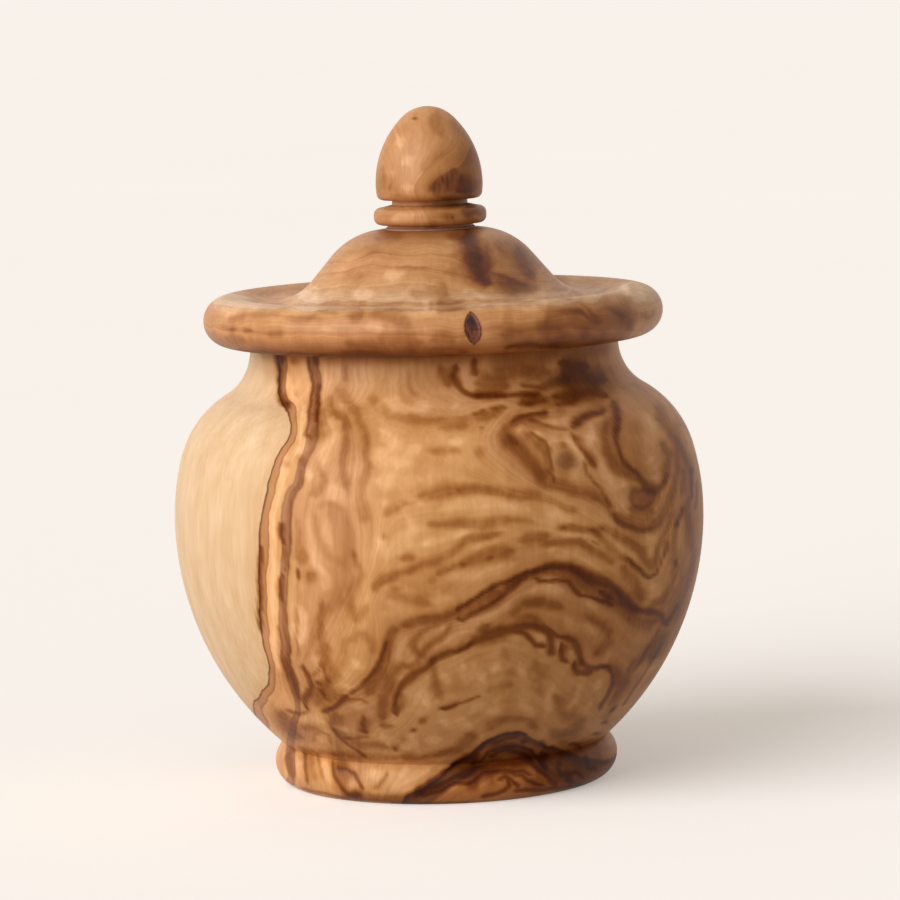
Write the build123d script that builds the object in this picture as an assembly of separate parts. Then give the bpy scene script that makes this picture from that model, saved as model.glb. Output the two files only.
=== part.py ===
"""Turned olive-wood jar with a loose lid, for spices or sugar.

The pot is turned from one block, with its foot left on. The lid is a second turned piece that
rests on the pot's rim, with a spigot that drops into the mouth. The knob is a third: a fluted
dowel and a film of glue hold it on the lid. Nothing else holds the jar together.

Sizes are in millimetres and angles in degrees. +Z is up, and the origin is the centre of the
face that the foot rests on. Each piece is drawn as half a section, outwards along X and upwards
along Y, and turned about Z.
"""

import os
from math import acos, asin, atan, cos, degrees, hypot, radians, sin

from build123d import *

# Pot, outside, from the table up.
foot_edge_radius = 28.3  # the foot's outer edge on the table
foot_bead_radius = 30.7  # the bead round the foot, at its widest
waist_radius = 28.9  # the crease where the belly springs from the bead
foot_height = 7.1  # the table to the crease
belly_radius = 47.2
belly_height = 47.4  # the table to the widest place
upper_belly_arc = 43.0  # the arc just above the widest place
upper_belly_turn = 15.5  # how far that arc leans inwards before the shoulder
shoulder_arc = 18.0
neck_radius = 32.75
neck_arc = 9.6  # the hollow between shoulder and neck
neck_land = 0.9  # upright stretch from that hollow to the rim
rim_round = 0.5  # both edges of the rim

# Pot, inside and underneath.
wall = 6.4
floor_thickness = 9.0
floor_round = 9.0  # the inside corner at the floor
recess_radius = 22.0  # the hollow under the foot
recess_depth = 1.4

# Lid.
flange_overhang = 8.1  # past the neck
flange_thickness = 8.6
valley_depth = 1.3  # from the flange's crest down to the hollow round the dome
valley_arc = 9.8
dome_slope = 49.5  # the steepest part of the dome's side
dome_rise = 11.0  # from the crest to the flat that the knob stands on
dome_arc = 12.8
spigot_depth = 5.0
spigot_wall = 5.0
spigot_lead = 0.7  # chamfer that leads the spigot into the mouth
spigot_clearance = 1.2  # all round, inside the mouth
hollow_height = 7.4  # the hollow under the dome, above the pot's rim

# Knob.
knob_foot_radius = 7.6
knob_foot_height = 0.7  # the short neck under the collar
collar_radius = 10.0
collar_round = 1.2  # both edges of the collar
collar_flat = 0.6  # upright stretch between them
collar_rise = 0.5  # how far the collar's top climbs towards the neck
knob_neck_radius = 6.7
knob_neck_height = 0.9
egg_radius = 9.5
egg_base_height = 2.7  # the egg's flat base up to its widest place
egg_base_arc = 11.5
egg_base_round = 1.1
egg_side_arc = 16.5
egg_tip_arc = 6.4

# Dowel and glue.
dowel_radius = 3.0
dowel_hole_clearance = 0.05  # all round
dowel_in_lid = 7.5
dowel_in_knob = 8.5
dowel_end_clearance = 0.5  # air left at each end of the dowel
dowel_chamfer = 0.5
flute_count = 20
flute_radius = 0.22
glue_film = 0.15
glue_bead = 0.4  # what was squeezed out round the knob's foot

# Headings in the half section.
OUT = 0
UP = 90

# The pot's flank leaves the crease at a slant and stands upright at the belly. From there it
# leans in, over the shoulder, until the neck's hollow brings it upright again at the neck.
belly_swell = belly_radius - waist_radius
belly_climb = belly_height - foot_height
lower_belly_arc = hypot(belly_swell, belly_climb) ** 2 / (2 * belly_swell)
lower_belly_turn = degrees(asin(belly_climb / lower_belly_arc))
shoulder_turn = degrees(
    acos(
        (
            upper_belly_arc * (1 - cos(radians(upper_belly_turn)))
            + shoulder_arc * cos(radians(upper_belly_turn))
            + neck_arc
            - (belly_radius - neck_radius)
        )
        / (shoulder_arc + neck_arc)
    )
)
neck_level = (
    belly_height
    + (upper_belly_arc - shoulder_arc) * sin(radians(upper_belly_turn))
    + (shoulder_arc + neck_arc) * sin(radians(shoulder_turn))
)

# What the pieces share where they meet.
rim_level = neck_level + neck_land
mouth_radius = neck_radius - wall
crest_level = rim_level + flange_thickness
seat_level = crest_level + dome_rise
seat_radius = knob_foot_radius + glue_bead
knob_level = seat_level + glue_film
dowel_hole_radius = dowel_radius + dowel_hole_clearance


def drawn(start, heading, *steps):
    """Joined lines and arcs from a start. A step is (length,) to go straight on, or
    (radius, turn) to bend, where a turn to the left is positive."""
    edges = []
    point = Vector(*start)
    direction = Vector(cos(radians(heading)), sin(radians(heading)))
    for step in steps:
        if len(step) == 1:
            edge = Line(point, point + direction * step[0])
        else:
            edge = JernArc(point, direction, *step)
        edges.append(edge)
        point = edge @ 1
        direction = edge % 1
    return edges


def turned(*edges):
    """A solid of revolution about Z. The edges run from end to end, and a line closes them."""
    closing = Line(edges[-1] @ 1, edges[0] @ 0)
    return revolve(Plane.XZ * make_face([*edges, closing]), Axis.Z)


def make_pot():
    """From the hollow under the foot, up the outside, over the rim and down to the floor."""
    inner_belly_arc = lower_belly_arc - wall
    floor_turn = degrees(
        asin(
            (belly_height - floor_thickness - floor_round)
            / (inner_belly_arc - floor_round)
        )
    )
    underside = Polyline(
        (0, recess_depth),
        (recess_radius, recess_depth),
        (recess_radius, 0),
        (foot_edge_radius, 0),
    )
    bead = ThreePointArc(
        (foot_edge_radius, 0),
        (foot_bead_radius, foot_height / 2),
        (waist_radius, foot_height),
    )
    flank = drawn(
        (waist_radius, foot_height),
        UP - lower_belly_turn,
        (lower_belly_arc, lower_belly_turn),
        (upper_belly_arc, upper_belly_turn),
        (shoulder_arc, shoulder_turn - upper_belly_turn),
        (neck_arc, -shoulder_turn),
        (neck_land - rim_round,),
        (rim_round, 90),
        (wall - 2 * rim_round,),
        (rim_round, 90),
        (neck_land - rim_round,),
        (neck_arc + wall, shoulder_turn),
        (shoulder_arc - wall, upper_belly_turn - shoulder_turn),
        (upper_belly_arc - wall, -upper_belly_turn),
        (inner_belly_arc, -floor_turn),
        (floor_round, floor_turn - 90),
    )
    floor = Line(flank[-1] @ 1, (0, floor_thickness))
    return turned(underside, bead, *flank, floor)


def make_lid():
    """From the hollow under the dome, round the spigot and the flange, and up to the seat."""
    spigot_radius = mouth_radius - spigot_clearance
    spigot_level = rim_level - spigot_depth
    hollow_radius = spigot_radius - spigot_wall
    hole_level = seat_level - dowel_in_lid - dowel_end_clearance
    edge_round = flange_thickness / 2
    crest_radius = neck_radius + flange_overhang - edge_round

    # The dome's side is a straight slant between two arcs of the same turn. Two equal arcs of
    # opposite turn carry the crest down into the valley.
    slant = radians(dome_slope)
    arcs_drop = (dome_arc + valley_arc) * (1 - cos(slant))
    side_length = (dome_rise + valley_depth - arcs_drop) / sin(slant)
    dome_foot = (
        seat_radius + (dome_arc + valley_arc) * sin(slant) + side_length * cos(slant)
    )
    crest_run = crest_radius - dome_foot
    crest_turn = 2 * atan(valley_depth / crest_run)
    crest_arc = crest_run / (2 * sin(crest_turn))

    hollow = TangentArc(
        (0, rim_level + hollow_height), (hollow_radius, spigot_level), tangent=(1, 0)
    )
    spigot = Polyline(
        (hollow_radius, spigot_level),
        (spigot_radius - spigot_lead, spigot_level),
        (spigot_radius, spigot_level + spigot_lead),
        (spigot_radius, rim_level),
        (crest_radius, rim_level),
    )
    top = drawn(
        (crest_radius, rim_level),
        OUT,
        (edge_round, 180),
        (crest_arc, degrees(crest_turn)),
        (crest_arc, -degrees(crest_turn)),
        (valley_arc, -dome_slope),
        (side_length,),
        (dome_arc, dome_slope),
    )
    seat = Polyline(
        (seat_radius, seat_level),
        (dowel_hole_radius, seat_level),
        (dowel_hole_radius, hole_level),
        (0, hole_level),
    )
    return turned(hollow, spigot, *top, seat)


def make_knob():
    """From the dowel's hole, up past the collar and the neck, and over the egg to its tip."""
    hole_level = knob_level + dowel_in_knob + dowel_end_clearance
    collar_level = knob_level + knob_foot_height
    collar_top = collar_level + 2 * collar_round + collar_flat
    neck_foot = collar_top + collar_rise
    egg_level = neck_foot + knob_neck_height

    base_turn = acos(
        (egg_base_height - egg_base_round) / (egg_base_arc - egg_base_round)
    )
    base_radius = (
        egg_radius
        - egg_base_arc * (1 - sin(base_turn))
        - egg_base_round * sin(base_turn)
    )
    side_turn = degrees(
        acos((egg_side_arc - egg_radius) / (egg_side_arc - egg_tip_arc))
    )

    foot = Polyline(
        (0, hole_level),
        (dowel_hole_radius, hole_level),
        (dowel_hole_radius, knob_level),
        (knob_foot_radius, knob_level),
        (knob_foot_radius, collar_level),
        (collar_radius - collar_round, collar_level),
    )
    collar = drawn(
        (collar_radius - collar_round, collar_level),
        OUT,
        (collar_round, 90),
        (collar_flat,),
        (collar_round, 90),
    )
    neck = Polyline(
        (collar_radius - collar_round, collar_top),
        (knob_neck_radius, neck_foot),
        (knob_neck_radius, egg_level),
        (base_radius, egg_level),
    )
    egg = drawn(
        (base_radius, egg_level),
        OUT,
        (egg_base_round, degrees(base_turn)),
        (egg_base_arc, 90 - degrees(base_turn)),
        (egg_side_arc, side_turn),
        (egg_tip_arc, 90 - side_turn),
    )
    return turned(foot, *collar, neck, *egg)


def make_dowel():
    low = seat_level - dowel_in_lid
    high = knob_level + dowel_in_knob
    dowel = turned(
        Polyline(
            (0, low),
            (dowel_radius - dowel_chamfer, low),
            (dowel_radius, low + dowel_chamfer),
            (dowel_radius, high - dowel_chamfer),
            (dowel_radius - dowel_chamfer, high),
            (0, high),
        )
    )
    flute = Pos(0, 0, (low + high) / 2) * Cylinder(flute_radius, 2 * (high - low))
    return dowel - PolarLocations(dowel_radius, flute_count) * flute


def make_glue():
    """The film under the knob's foot, and the bead squeezed out round it."""
    bead_radius = knob_foot_radius + glue_bead
    base = Line((dowel_hole_radius, seat_level), (bead_radius, seat_level))
    bead = drawn((bead_radius, seat_level), UP, (glue_bead, 90))
    film = Polyline(
        (knob_foot_radius, seat_level + glue_bead),
        (knob_foot_radius, knob_level),
        (dowel_hole_radius, knob_level),
    )
    return turned(base, *bead, film)


pieces = {
    "pot": make_pot(),
    "lid": make_lid(),
    "knob": make_knob(),
    "knob_dowel": make_dowel(),
    "knob_glue": make_glue(),
}

os.makedirs("parts", exist_ok=True)
for node, solid in pieces.items():
    export_step(solid, f"parts/{node}.step")
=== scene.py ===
"""A lidded spice jar turned from olive wood, standing on a pale floor in soft daylight.

Sizes are in metres. The jar stands at the origin on Z = 0, and -Y is the side in the photograph.
"""

from math import acos, asin, atan, ceil, cos, hypot, pi, radians, sin

import bmesh
import bpy
import numpy as np
from mathutils import Matrix, Vector, noise
from mathutils.bvhtree import BVHTree


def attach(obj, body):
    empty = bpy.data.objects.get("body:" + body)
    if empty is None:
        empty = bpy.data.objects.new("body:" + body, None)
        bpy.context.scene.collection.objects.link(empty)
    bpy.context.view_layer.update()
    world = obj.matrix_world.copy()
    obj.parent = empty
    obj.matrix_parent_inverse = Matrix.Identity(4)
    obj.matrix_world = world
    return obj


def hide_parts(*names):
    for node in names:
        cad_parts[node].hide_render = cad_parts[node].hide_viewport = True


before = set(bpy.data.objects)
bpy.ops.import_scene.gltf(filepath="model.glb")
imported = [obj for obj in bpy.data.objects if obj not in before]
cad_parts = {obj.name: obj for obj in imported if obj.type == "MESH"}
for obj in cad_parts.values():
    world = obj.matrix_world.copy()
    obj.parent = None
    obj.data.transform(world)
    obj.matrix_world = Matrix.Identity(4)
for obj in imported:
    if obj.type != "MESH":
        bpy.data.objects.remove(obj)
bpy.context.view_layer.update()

# Camera.
# The photograph was taken from a step away with a long lens, a little above the lid. The jar
# leans a hair to the left in it, so the camera is turned about its own axis by as much.
photo_side = 900
camera_distance = 0.760
camera_height = 0.1427
camera_pitch = 0.1102
camera_yaw = 0.0030
camera_roll = -0.030
camera_focal_pixels = 4282
camera_sensor_width = 36  # millimetres

camera = bpy.data.objects.new("camera", bpy.data.cameras.new("camera"))
bpy.context.scene.collection.objects.link(camera)
bpy.context.scene.camera = camera
camera.data.sensor_width = camera_sensor_width
camera.data.lens = camera_sensor_width * camera_focal_pixels / photo_side
camera.matrix_world = (
    Matrix.Translation((0, -camera_distance, camera_height))
    @ Matrix.Rotation(-camera_yaw, 4, "Z")
    @ Matrix.Rotation(pi / 2 - camera_pitch, 4, "X")
    @ Matrix.Rotation(camera_roll, 4, "Z")
)


def sight(pixel):
    """The direction in which the camera sees a pixel of the photograph."""
    across = (pixel[0] - photo_side / 2) / camera_focal_pixels
    down = (pixel[1] - photo_side / 2) / camera_focal_pixels
    return (camera.matrix_world.to_3x3() @ Vector((across, -down, -1))).normalized()


# Pot.
# Turned from one block of olive wood: foot, round belly, shoulder, neck and rim, and hollowed
# through the mouth. The block held the pale sapwood on its left and the dark heart low down.
foot_edge_radius = 0.0283
foot_bead_radius = 0.0307
waist_radius = 0.0289
foot_height = 0.0071
belly_radius = 0.0472
belly_height = 0.0474
upper_belly_arc = 0.0430
upper_belly_turn = radians(15.5)
shoulder_arc = 0.0180
neck_radius = 0.03275
neck_arc = 0.0096
neck_land = 0.0009
rim_round = 0.0005
wall = 0.0064
floor_thickness = 0.0090
floor_round = 0.0090
recess_radius = 0.0220
recess_depth = 0.0014
corner_ease = 0.0002  # sanded off every corner

# Headings in the half section.
OUT = 0
UP = pi / 2

belly_swell = belly_radius - waist_radius
belly_climb = belly_height - foot_height
lower_belly_arc = hypot(belly_swell, belly_climb) ** 2 / (2 * belly_swell)
lower_belly_turn = asin(belly_climb / lower_belly_arc)
inner_belly_arc = lower_belly_arc - wall
floor_turn = asin((belly_height - floor_thickness - floor_round) / (inner_belly_arc - floor_round))
shoulder_turn = acos(
    (
        upper_belly_arc * (1 - cos(upper_belly_turn))
        + shoulder_arc * cos(upper_belly_turn)
        + neck_arc
        - (belly_radius - neck_radius)
    )
    / (shoulder_arc + neck_arc)
)


def run(start, end, spacing):
    """Points on a straight run, without its start."""
    count = max(1, ceil(hypot(*(end - start)) / spacing))
    return [start + (end - start) * (i + 1) / count for i in range(count)]


def drawn(start, heading, *steps, spacing=0.0007):
    """Points along joined lines and arcs from a start. A step is (length,) to go straight on,
    or (radius, turn) to bend, where a turn to the left is positive."""
    points = [np.array(start, float)]
    for step in steps:
        ahead = np.array((cos(heading), sin(heading)))
        if len(step) == 1:
            points += run(points[-1], points[-1] + ahead * step[0], spacing)
            continue
        radius, turn = step
        left = np.array((-ahead[1], ahead[0])) * np.sign(turn)
        centre = points[-1] + left * radius
        count = max(3, ceil(abs(radius * turn) / spacing))
        for i in range(count):
            swung = abs(turn) * (i + 1) / count
            points.append(centre - left * radius * cos(swung) + ahead * radius * sin(swung))
        heading += turn
    return points


def eased(*corners, spacing=0.002):
    """Points along straight runs between corners, with each corner sanded off by a hair."""
    shares = (0.3, 0.7, 1)
    corners = [np.array(corner, float) for corner in corners]
    points = [corners[0]]
    for before, corner, after in zip(corners, corners[1:], corners[2:]):
        into = corner + (before - corner) / hypot(*(before - corner)) * corner_ease
        out = corner + (after - corner) / hypot(*(after - corner)) * corner_ease
        points += run(points[-1], into, spacing)
        points += [into * (1 - t) ** 2 + corner * 2 * t * (1 - t) + out * t**2 for t in shares]
    return points + run(points[-1], corners[-1], spacing)


def lathe_tree():
    """Turns a half section, given as points in order with X outwards and Z up, about the
    object's Z axis into a closed skin. Crowding sets the steps closer together at the front,
    where the grain has the most to show."""
    seam_gap = 1e-6
    tree = bpy.data.node_groups.new("lathe", "GeometryNodeTree")
    sockets = tree.interface
    sockets.new_socket("Half section", in_out="INPUT", socket_type="NodeSocketGeometry")
    sockets.new_socket("Steps round", in_out="INPUT", socket_type="NodeSocketInt")
    sockets.new_socket("Front crowding", in_out="INPUT", socket_type="NodeSocketFloat")
    sockets.new_socket("Wood", in_out="INPUT", socket_type="NodeSocketMaterial")
    sockets.new_socket("Turned", in_out="OUTPUT", socket_type="NodeSocketGeometry")

    def put(kind, links, **settings):
        node = tree.nodes.new(kind)
        for name, value in settings.items():
            setattr(node, name, value)
        for key, value in links.items():
            if isinstance(value, bpy.types.NodeSocket):
                tree.links.new(value, node.inputs[key])
            else:
                node.inputs[key].default_value = value
        return node

    def whole(operation, a, b):
        return put("FunctionNodeIntegerMath", {0: a, 1: b}, operation=operation).outputs[0]

    def number(operation, a, b=0.0):
        return put("ShaderNodeMath", {0: a, 1: b}, operation=operation).outputs[0]

    given = tree.nodes.new("NodeGroupInput").outputs
    count = put(
        "GeometryNodeAttributeDomainSize", {"Geometry": given["Half section"]}
    ).outputs["Point Count"]
    columns = whole("ADD", given["Steps round"], 1)
    skin = put("GeometryNodeMeshGrid", {"Vertices X": columns, "Vertices Y": count})
    index = put("GeometryNodeInputIndex", {}).outputs[0]
    section = put(
        "GeometryNodeSampleIndex",
        {
            "Geometry": given["Half section"],
            "Value": put("GeometryNodeInputPosition", {}).outputs[0],
            "Index": whole("MODULO", index, count),
        },
        data_type="FLOAT_VECTOR",
    ).outputs["Value"]
    place = put("ShaderNodeSeparateXYZ", {0: section}).outputs
    share = number("DIVIDE", whole("DIVIDE_FLOOR", index, count), given["Steps round"])
    even = number("MULTIPLY", share, 2 * pi)
    crowded = number("MULTIPLY", number("SINE", even), given["Front crowding"])
    angle = number("ADD", even, crowded)
    position = put(
        "ShaderNodeCombineXYZ",
        {
            "X": number("MULTIPLY", place["X"], number("SINE", angle)),
            "Y": number("MULTIPLY", place["X"], number("COSINE", angle)),
            "Z": place["Z"],
        },
    ).outputs[0]
    turned = put(
        "GeometryNodeSetPosition", {"Geometry": skin.outputs["Mesh"], "Position": position}
    )
    closed = put(
        "GeometryNodeMergeByDistance", {"Geometry": turned.outputs[0], "Distance": seam_gap}
    )
    smooth = put("GeometryNodeSetShadeSmooth", {"Geometry": closed.outputs[0]})
    real = put("GeometryNodeRealizeInstances", {"Geometry": smooth.outputs[0]})
    wood = put(
        "GeometryNodeSetMaterial", {"Geometry": real.outputs[0], "Material": given["Wood"]}
    )
    out = tree.nodes.new("NodeGroupOutput")
    tree.links.new(wood.outputs[0], out.inputs[0])
    return tree


lathe = lathe_tree()
sharpest_bend = radians(40)  # past this an edge stays crisp


def turned(name, section, steps_round, wood, crowding=0.6):
    """A piece of the section's shape, as a plain mesh with its faces outwards."""
    mesh = bpy.data.meshes.new(name)
    mesh.from_pydata([(point[0], 0, point[1]) for point in section], [], [])
    piece = bpy.data.objects.new(name, mesh)
    bpy.context.scene.collection.objects.link(piece)
    modifier = piece.modifiers.new("lathe", "NODES")
    modifier.node_group = lathe
    given = {item.name: item.identifier for item in lathe.interface.items_tree}
    modifier[given["Steps round"]] = steps_round
    modifier[given["Front crowding"]] = crowding
    modifier[given["Wood"]] = wood
    evaluated = piece.evaluated_get(bpy.context.evaluated_depsgraph_get())
    skin = bpy.data.meshes.new_from_object(evaluated)
    piece.modifiers.remove(modifier)
    piece.data = skin
    skin.name = name
    skin.set_sharp_from_angle(angle=sharpest_bend)
    shape = bmesh.new()
    shape.from_mesh(skin)
    if shape.calc_volume(signed=True) < 0:
        bmesh.ops.reverse_faces(shape, faces=shape.faces[:])
    shape.to_mesh(skin)
    shape.free()
    return piece


def vertex_places(piece):
    """The places of a piece's vertices, one row each."""
    places = np.empty(len(piece.data.vertices) * 3)
    piece.data.vertices.foreach_get("co", places)
    return places.reshape(-1, 3)


def marked(piece, name, values):
    """Writes one value a vertex on the piece, for its wood to read."""
    layer = piece.data.attributes.new(name, "FLOAT", "POINT")
    layer.data.foreach_set("value", np.asarray(values, np.float32))


class Grain:
    """The figure of the wood over a piece, in millimetres along X and Z. What is traced comes in
    pixels of the photograph, and is laid on the piece along the camera's sight lines."""

    pixel = 0.168  # across the front of the jar
    give = 2.0  # how far the bent plate may miss a traced line, for a smoother figure
    rows_at_once = 4000  # so that the sums fit in memory

    def __init__(self, piece):
        self.surface = BVHTree.FromPolygons(
            [vertex.co for vertex in piece.data.vertices],
            [polygon.vertices for polygon in piece.data.polygons],
        )

    def laid(self, line):
        """Where a traced line lies. Points that miss the piece are left out."""
        eye = camera.matrix_world.translation
        hits = [(self.surface.ray_cast(eye, sight(point))[0], point[2:]) for point in line]
        return np.array(
            [(hit.x * 1000, hit.z * 1000, *rest) for hit, rest in hits if hit is not None]
        )

    def rings(self, places, traced, spacing=7.0):
        """The order of the growth rings at each place. A traced line keeps one level in that
        order, and the rings between the lines are spread as smoothly as a bent thin plate."""
        known = []
        for level, line in traced:
            line = np.array(line, float)
            points = []
            for start, end in zip(line[:-1], line[1:]):
                count = max(1, round(hypot(*(end - start)) / spacing))
                points += [start + (end - start) * i / count for i in range(count)]
            known += [(x, z, level) for x, z in self.laid(points)]
        known = np.array(known)
        knots = known[:, :2]

        def bend(places):
            apart = ((places[:, None, :] - knots[None, :, :]) ** 2).sum(2)
            return 0.5 * apart * np.log(apart + 1e-9)

        count = len(known)
        plate = np.zeros((count + 3, count + 3))
        plate[:count, :count] = bend(knots) + np.eye(count) * self.give
        plate[:count, count] = 1
        plate[:count, count + 1 :] = knots
        plate[count, :count] = 1
        plate[count + 1 :, :count] = knots.T
        weights = np.linalg.solve(plate, np.append(known[:, 2], np.zeros(3)))
        found = []
        for part in np.array_split(places, max(1, len(places) // self.rows_at_once)):
            sides = np.column_stack((np.ones(len(part)), part))
            found.append(bend(part) @ weights[:-3] + sides @ weights[-3:])
        return np.concatenate(found)

    def strokes(self, places, traced, blur, edge, taper):
        """How much of the strokes' stain each place holds, from 0 to 1, fading softly past
        their edges by its blur. A stroke's points carry its half width in pixels. Its strength
        comes before them where it isn't full. It narrows towards its tips, over the taper."""
        tip = 0.2
        fullness = 1.5
        falloff = 0.7
        clear = np.ones(len(places))
        for line in traced:
            strength = 1.0
            if isinstance(line[0], float):
                strength, *line = line
            line = self.laid(line)
            if len(line) == 0:
                continue
            held = np.zeros(len(places))
            lengths = np.hypot(*np.diff(line[:, :2], axis=0).T)
            travelled = 0.0
            for start, end in zip(line, line[1:] if len(line) > 1 else line):
                widest = 2.0 * hypot(max(start[2], end[2]) * self.pixel, blur.max())
                low = np.minimum(start, end)[:2] - widest
                high = np.maximum(start, end)[:2] + widest
                near = np.flatnonzero(((places > low) & (places < high)).all(1))
                along = (end - start)[:2]
                share = (places[near] - start[:2]) @ along / max(along @ along, 1e-9)
                share = np.clip(share, 0, 1)[:, None]
                off = places[near] - start[:2] - share * along
                width = (start[2] + (end[2] - start[2]) * share[:, 0]) * self.pixel
                if len(line) > 1:
                    reached = travelled + share[:, 0] * hypot(*along)
                    to_tip = np.minimum(reached, lengths.sum() - reached)
                    width = width * np.clip(tip + to_tip / taper, 0, 1)
                soft = np.hypot(width, blur[near])
                fade = np.exp(-falloff * (np.hypot(*off.T) / soft) ** edge)
                depth = np.minimum(1, fullness * width / soft) * fade
                held[near] = np.maximum(held[near], depth)
                travelled += hypot(*along)
            clear *= 1 - held * strength
        return 1 - clear


# The seed keeps the wood's tremble the same in every run.
tremble_seed = 4
noise.seed_set(tremble_seed)


def swept_back(places, reach, sway):
    """The places in X and Z, in millimetres, where the wood at each vertex comes to the front.
    Behind the piece's middle the figure wanders away from the front and slips up or down, and
    everywhere it trembles a little, as fibres do."""
    pinch = 0.3
    slip = 1.4
    slow, slow_size = 260, 0.34
    quick, quick_size = 800, 0.16
    x, y, z = places.T * 1000
    behind = np.clip(y / reach, 0, 1)
    behind = behind**2 * (3 - 2 * behind)
    aside = np.sin(z / 13 + 1.3)
    upwards = slip * np.tanh(x / reach) + np.sin(x / 15 + 0.7) + 0.5 * np.sin(x / 6 + 2)
    tremble = np.array([
        noise.noise_vector(Vector(place) * slow) * slow_size
        + noise.noise_vector(Vector(place) * quick) * quick_size * (1 - far)
        for place, far in zip(places, behind)
    ])
    return np.column_stack(
        (
            x * (1 - pinch * behind) + sway * behind * aside + tremble[:, 0],
            z + sway * behind * upwards + tremble[:, 2],
        )
    )


class Wire:
    """A number on its way through a shader, so that shader maths reads as arithmetic."""

    def __init__(self, finish, socket):
        self.finish = finish
        self.socket = socket

    def maths(self, operation, a, b=0.0, clamp=False):
        settings = {"operation": operation, "use_clamp": clamp}
        return self.finish.wire("ShaderNodeMath", settings, {0: a, 1: b})

    def __add__(self, other):
        return self.maths("ADD", self, other)

    def __sub__(self, other):
        return self.maths("SUBTRACT", self, other)

    def __rsub__(self, other):
        return self.maths("SUBTRACT", other, self)

    def __mul__(self, other):
        return self.maths("MULTIPLY", self, other)

    def __truediv__(self, other):
        return self.maths("DIVIDE", self, other)

    def __rpow__(self, other):
        return self.maths("POWER", other, self)

    __radd__ = __add__
    __rmul__ = __mul__

    def held(self):
        """Kept from 0 to 1."""
        return self.maths("ADD", self, 0.0, clamp=True)

    def swing(self, size):
        """A texture's swing to either side of its middle, made this large."""
        return (self - 0.5) * size


class Finish:
    """A material being made up, or the light of a room."""

    def __init__(self, name, kept_in=bpy.data.materials):
        self.made = kept_in.new(name)
        self.made.use_nodes = True
        self.tree = self.made.node_tree
        self.tree.nodes.clear()

    def node(self, kind, settings, inputs):
        """Adds a node: first its settings, where "stops" are a ramp's, then its sockets."""
        node = self.tree.nodes.new(kind)
        for name, value in settings.items():
            if name != "stops":
                setattr(node, name, value)
                continue
            ramp = node.color_ramp.elements
            while len(ramp) < len(value):
                ramp.new(0.5)
            for element, (at, colour) in zip(ramp, value):
                element.position = at
            for element, (at, colour) in zip(ramp, value):
                element.color = colour
        for key, value in inputs.items():
            if isinstance(key, str):
                named = [s for s in node.inputs if s.identifier == key]
                socket = named[0] if named else node.inputs[key]
            else:
                socket = node.inputs[key]
            if isinstance(value, Wire):
                self.tree.links.new(value.socket, socket)
            else:
                socket.default_value = value
        return node

    def wire(self, kind, settings, inputs, output=0):
        return Wire(self, self.node(kind, settings, inputs).outputs[output])

    def mix(self, a, b, share, way="MIX"):
        """Colour a changed towards b by a share."""
        settings = {"data_type": "RGBA", "blend_type": way}
        inputs = {"A_Color": a, "B_Color": b, "Factor_Float": share}
        return self.wire("ShaderNodeMix", settings, inputs, output=2)

    def stretched(self, scale):
        """Object coordinates, scaled by a different number each way."""
        where = self.wire("ShaderNodeTexCoord", {}, {}, output=3)
        return self.wire(
            "ShaderNodeVectorMath", {"operation": "MULTIPLY"}, {0: where, 1: scale}
        )

    def noise(self, where, detail=2.0, roughness=0.5):
        inputs = {"Vector": where, "Scale": 1.0, "Detail": detail, "Roughness": roughness}
        return self.wire("ShaderNodeTexNoise", {}, inputs)

    def attribute(self, name):
        return self.wire("ShaderNodeAttribute", {"attribute_name": name}, {}, output=2)

    def ended(self, shader, kind="ShaderNodeOutputMaterial"):
        """The material or the room, once its last shader is in place."""
        output = self.node(kind, {}, {})
        self.tree.links.new(shader.outputs[0], output.inputs["Surface"])
        return self.made

    def surface(self, inputs):
        return self.ended(self.node("ShaderNodeBsdfPrincipled", {}, inputs))


def paint(red, green, blue):
    """A colour as it is mixed on the bench, 0 to 255, as the shader takes it."""
    return tuple(
        c / 12.92 if c <= 0.04045 else ((c + 0.055) / 1.055) ** 2.4
        for c in (red / 255, green / 255, blue / 255)
    ) + (1.0,)


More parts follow.
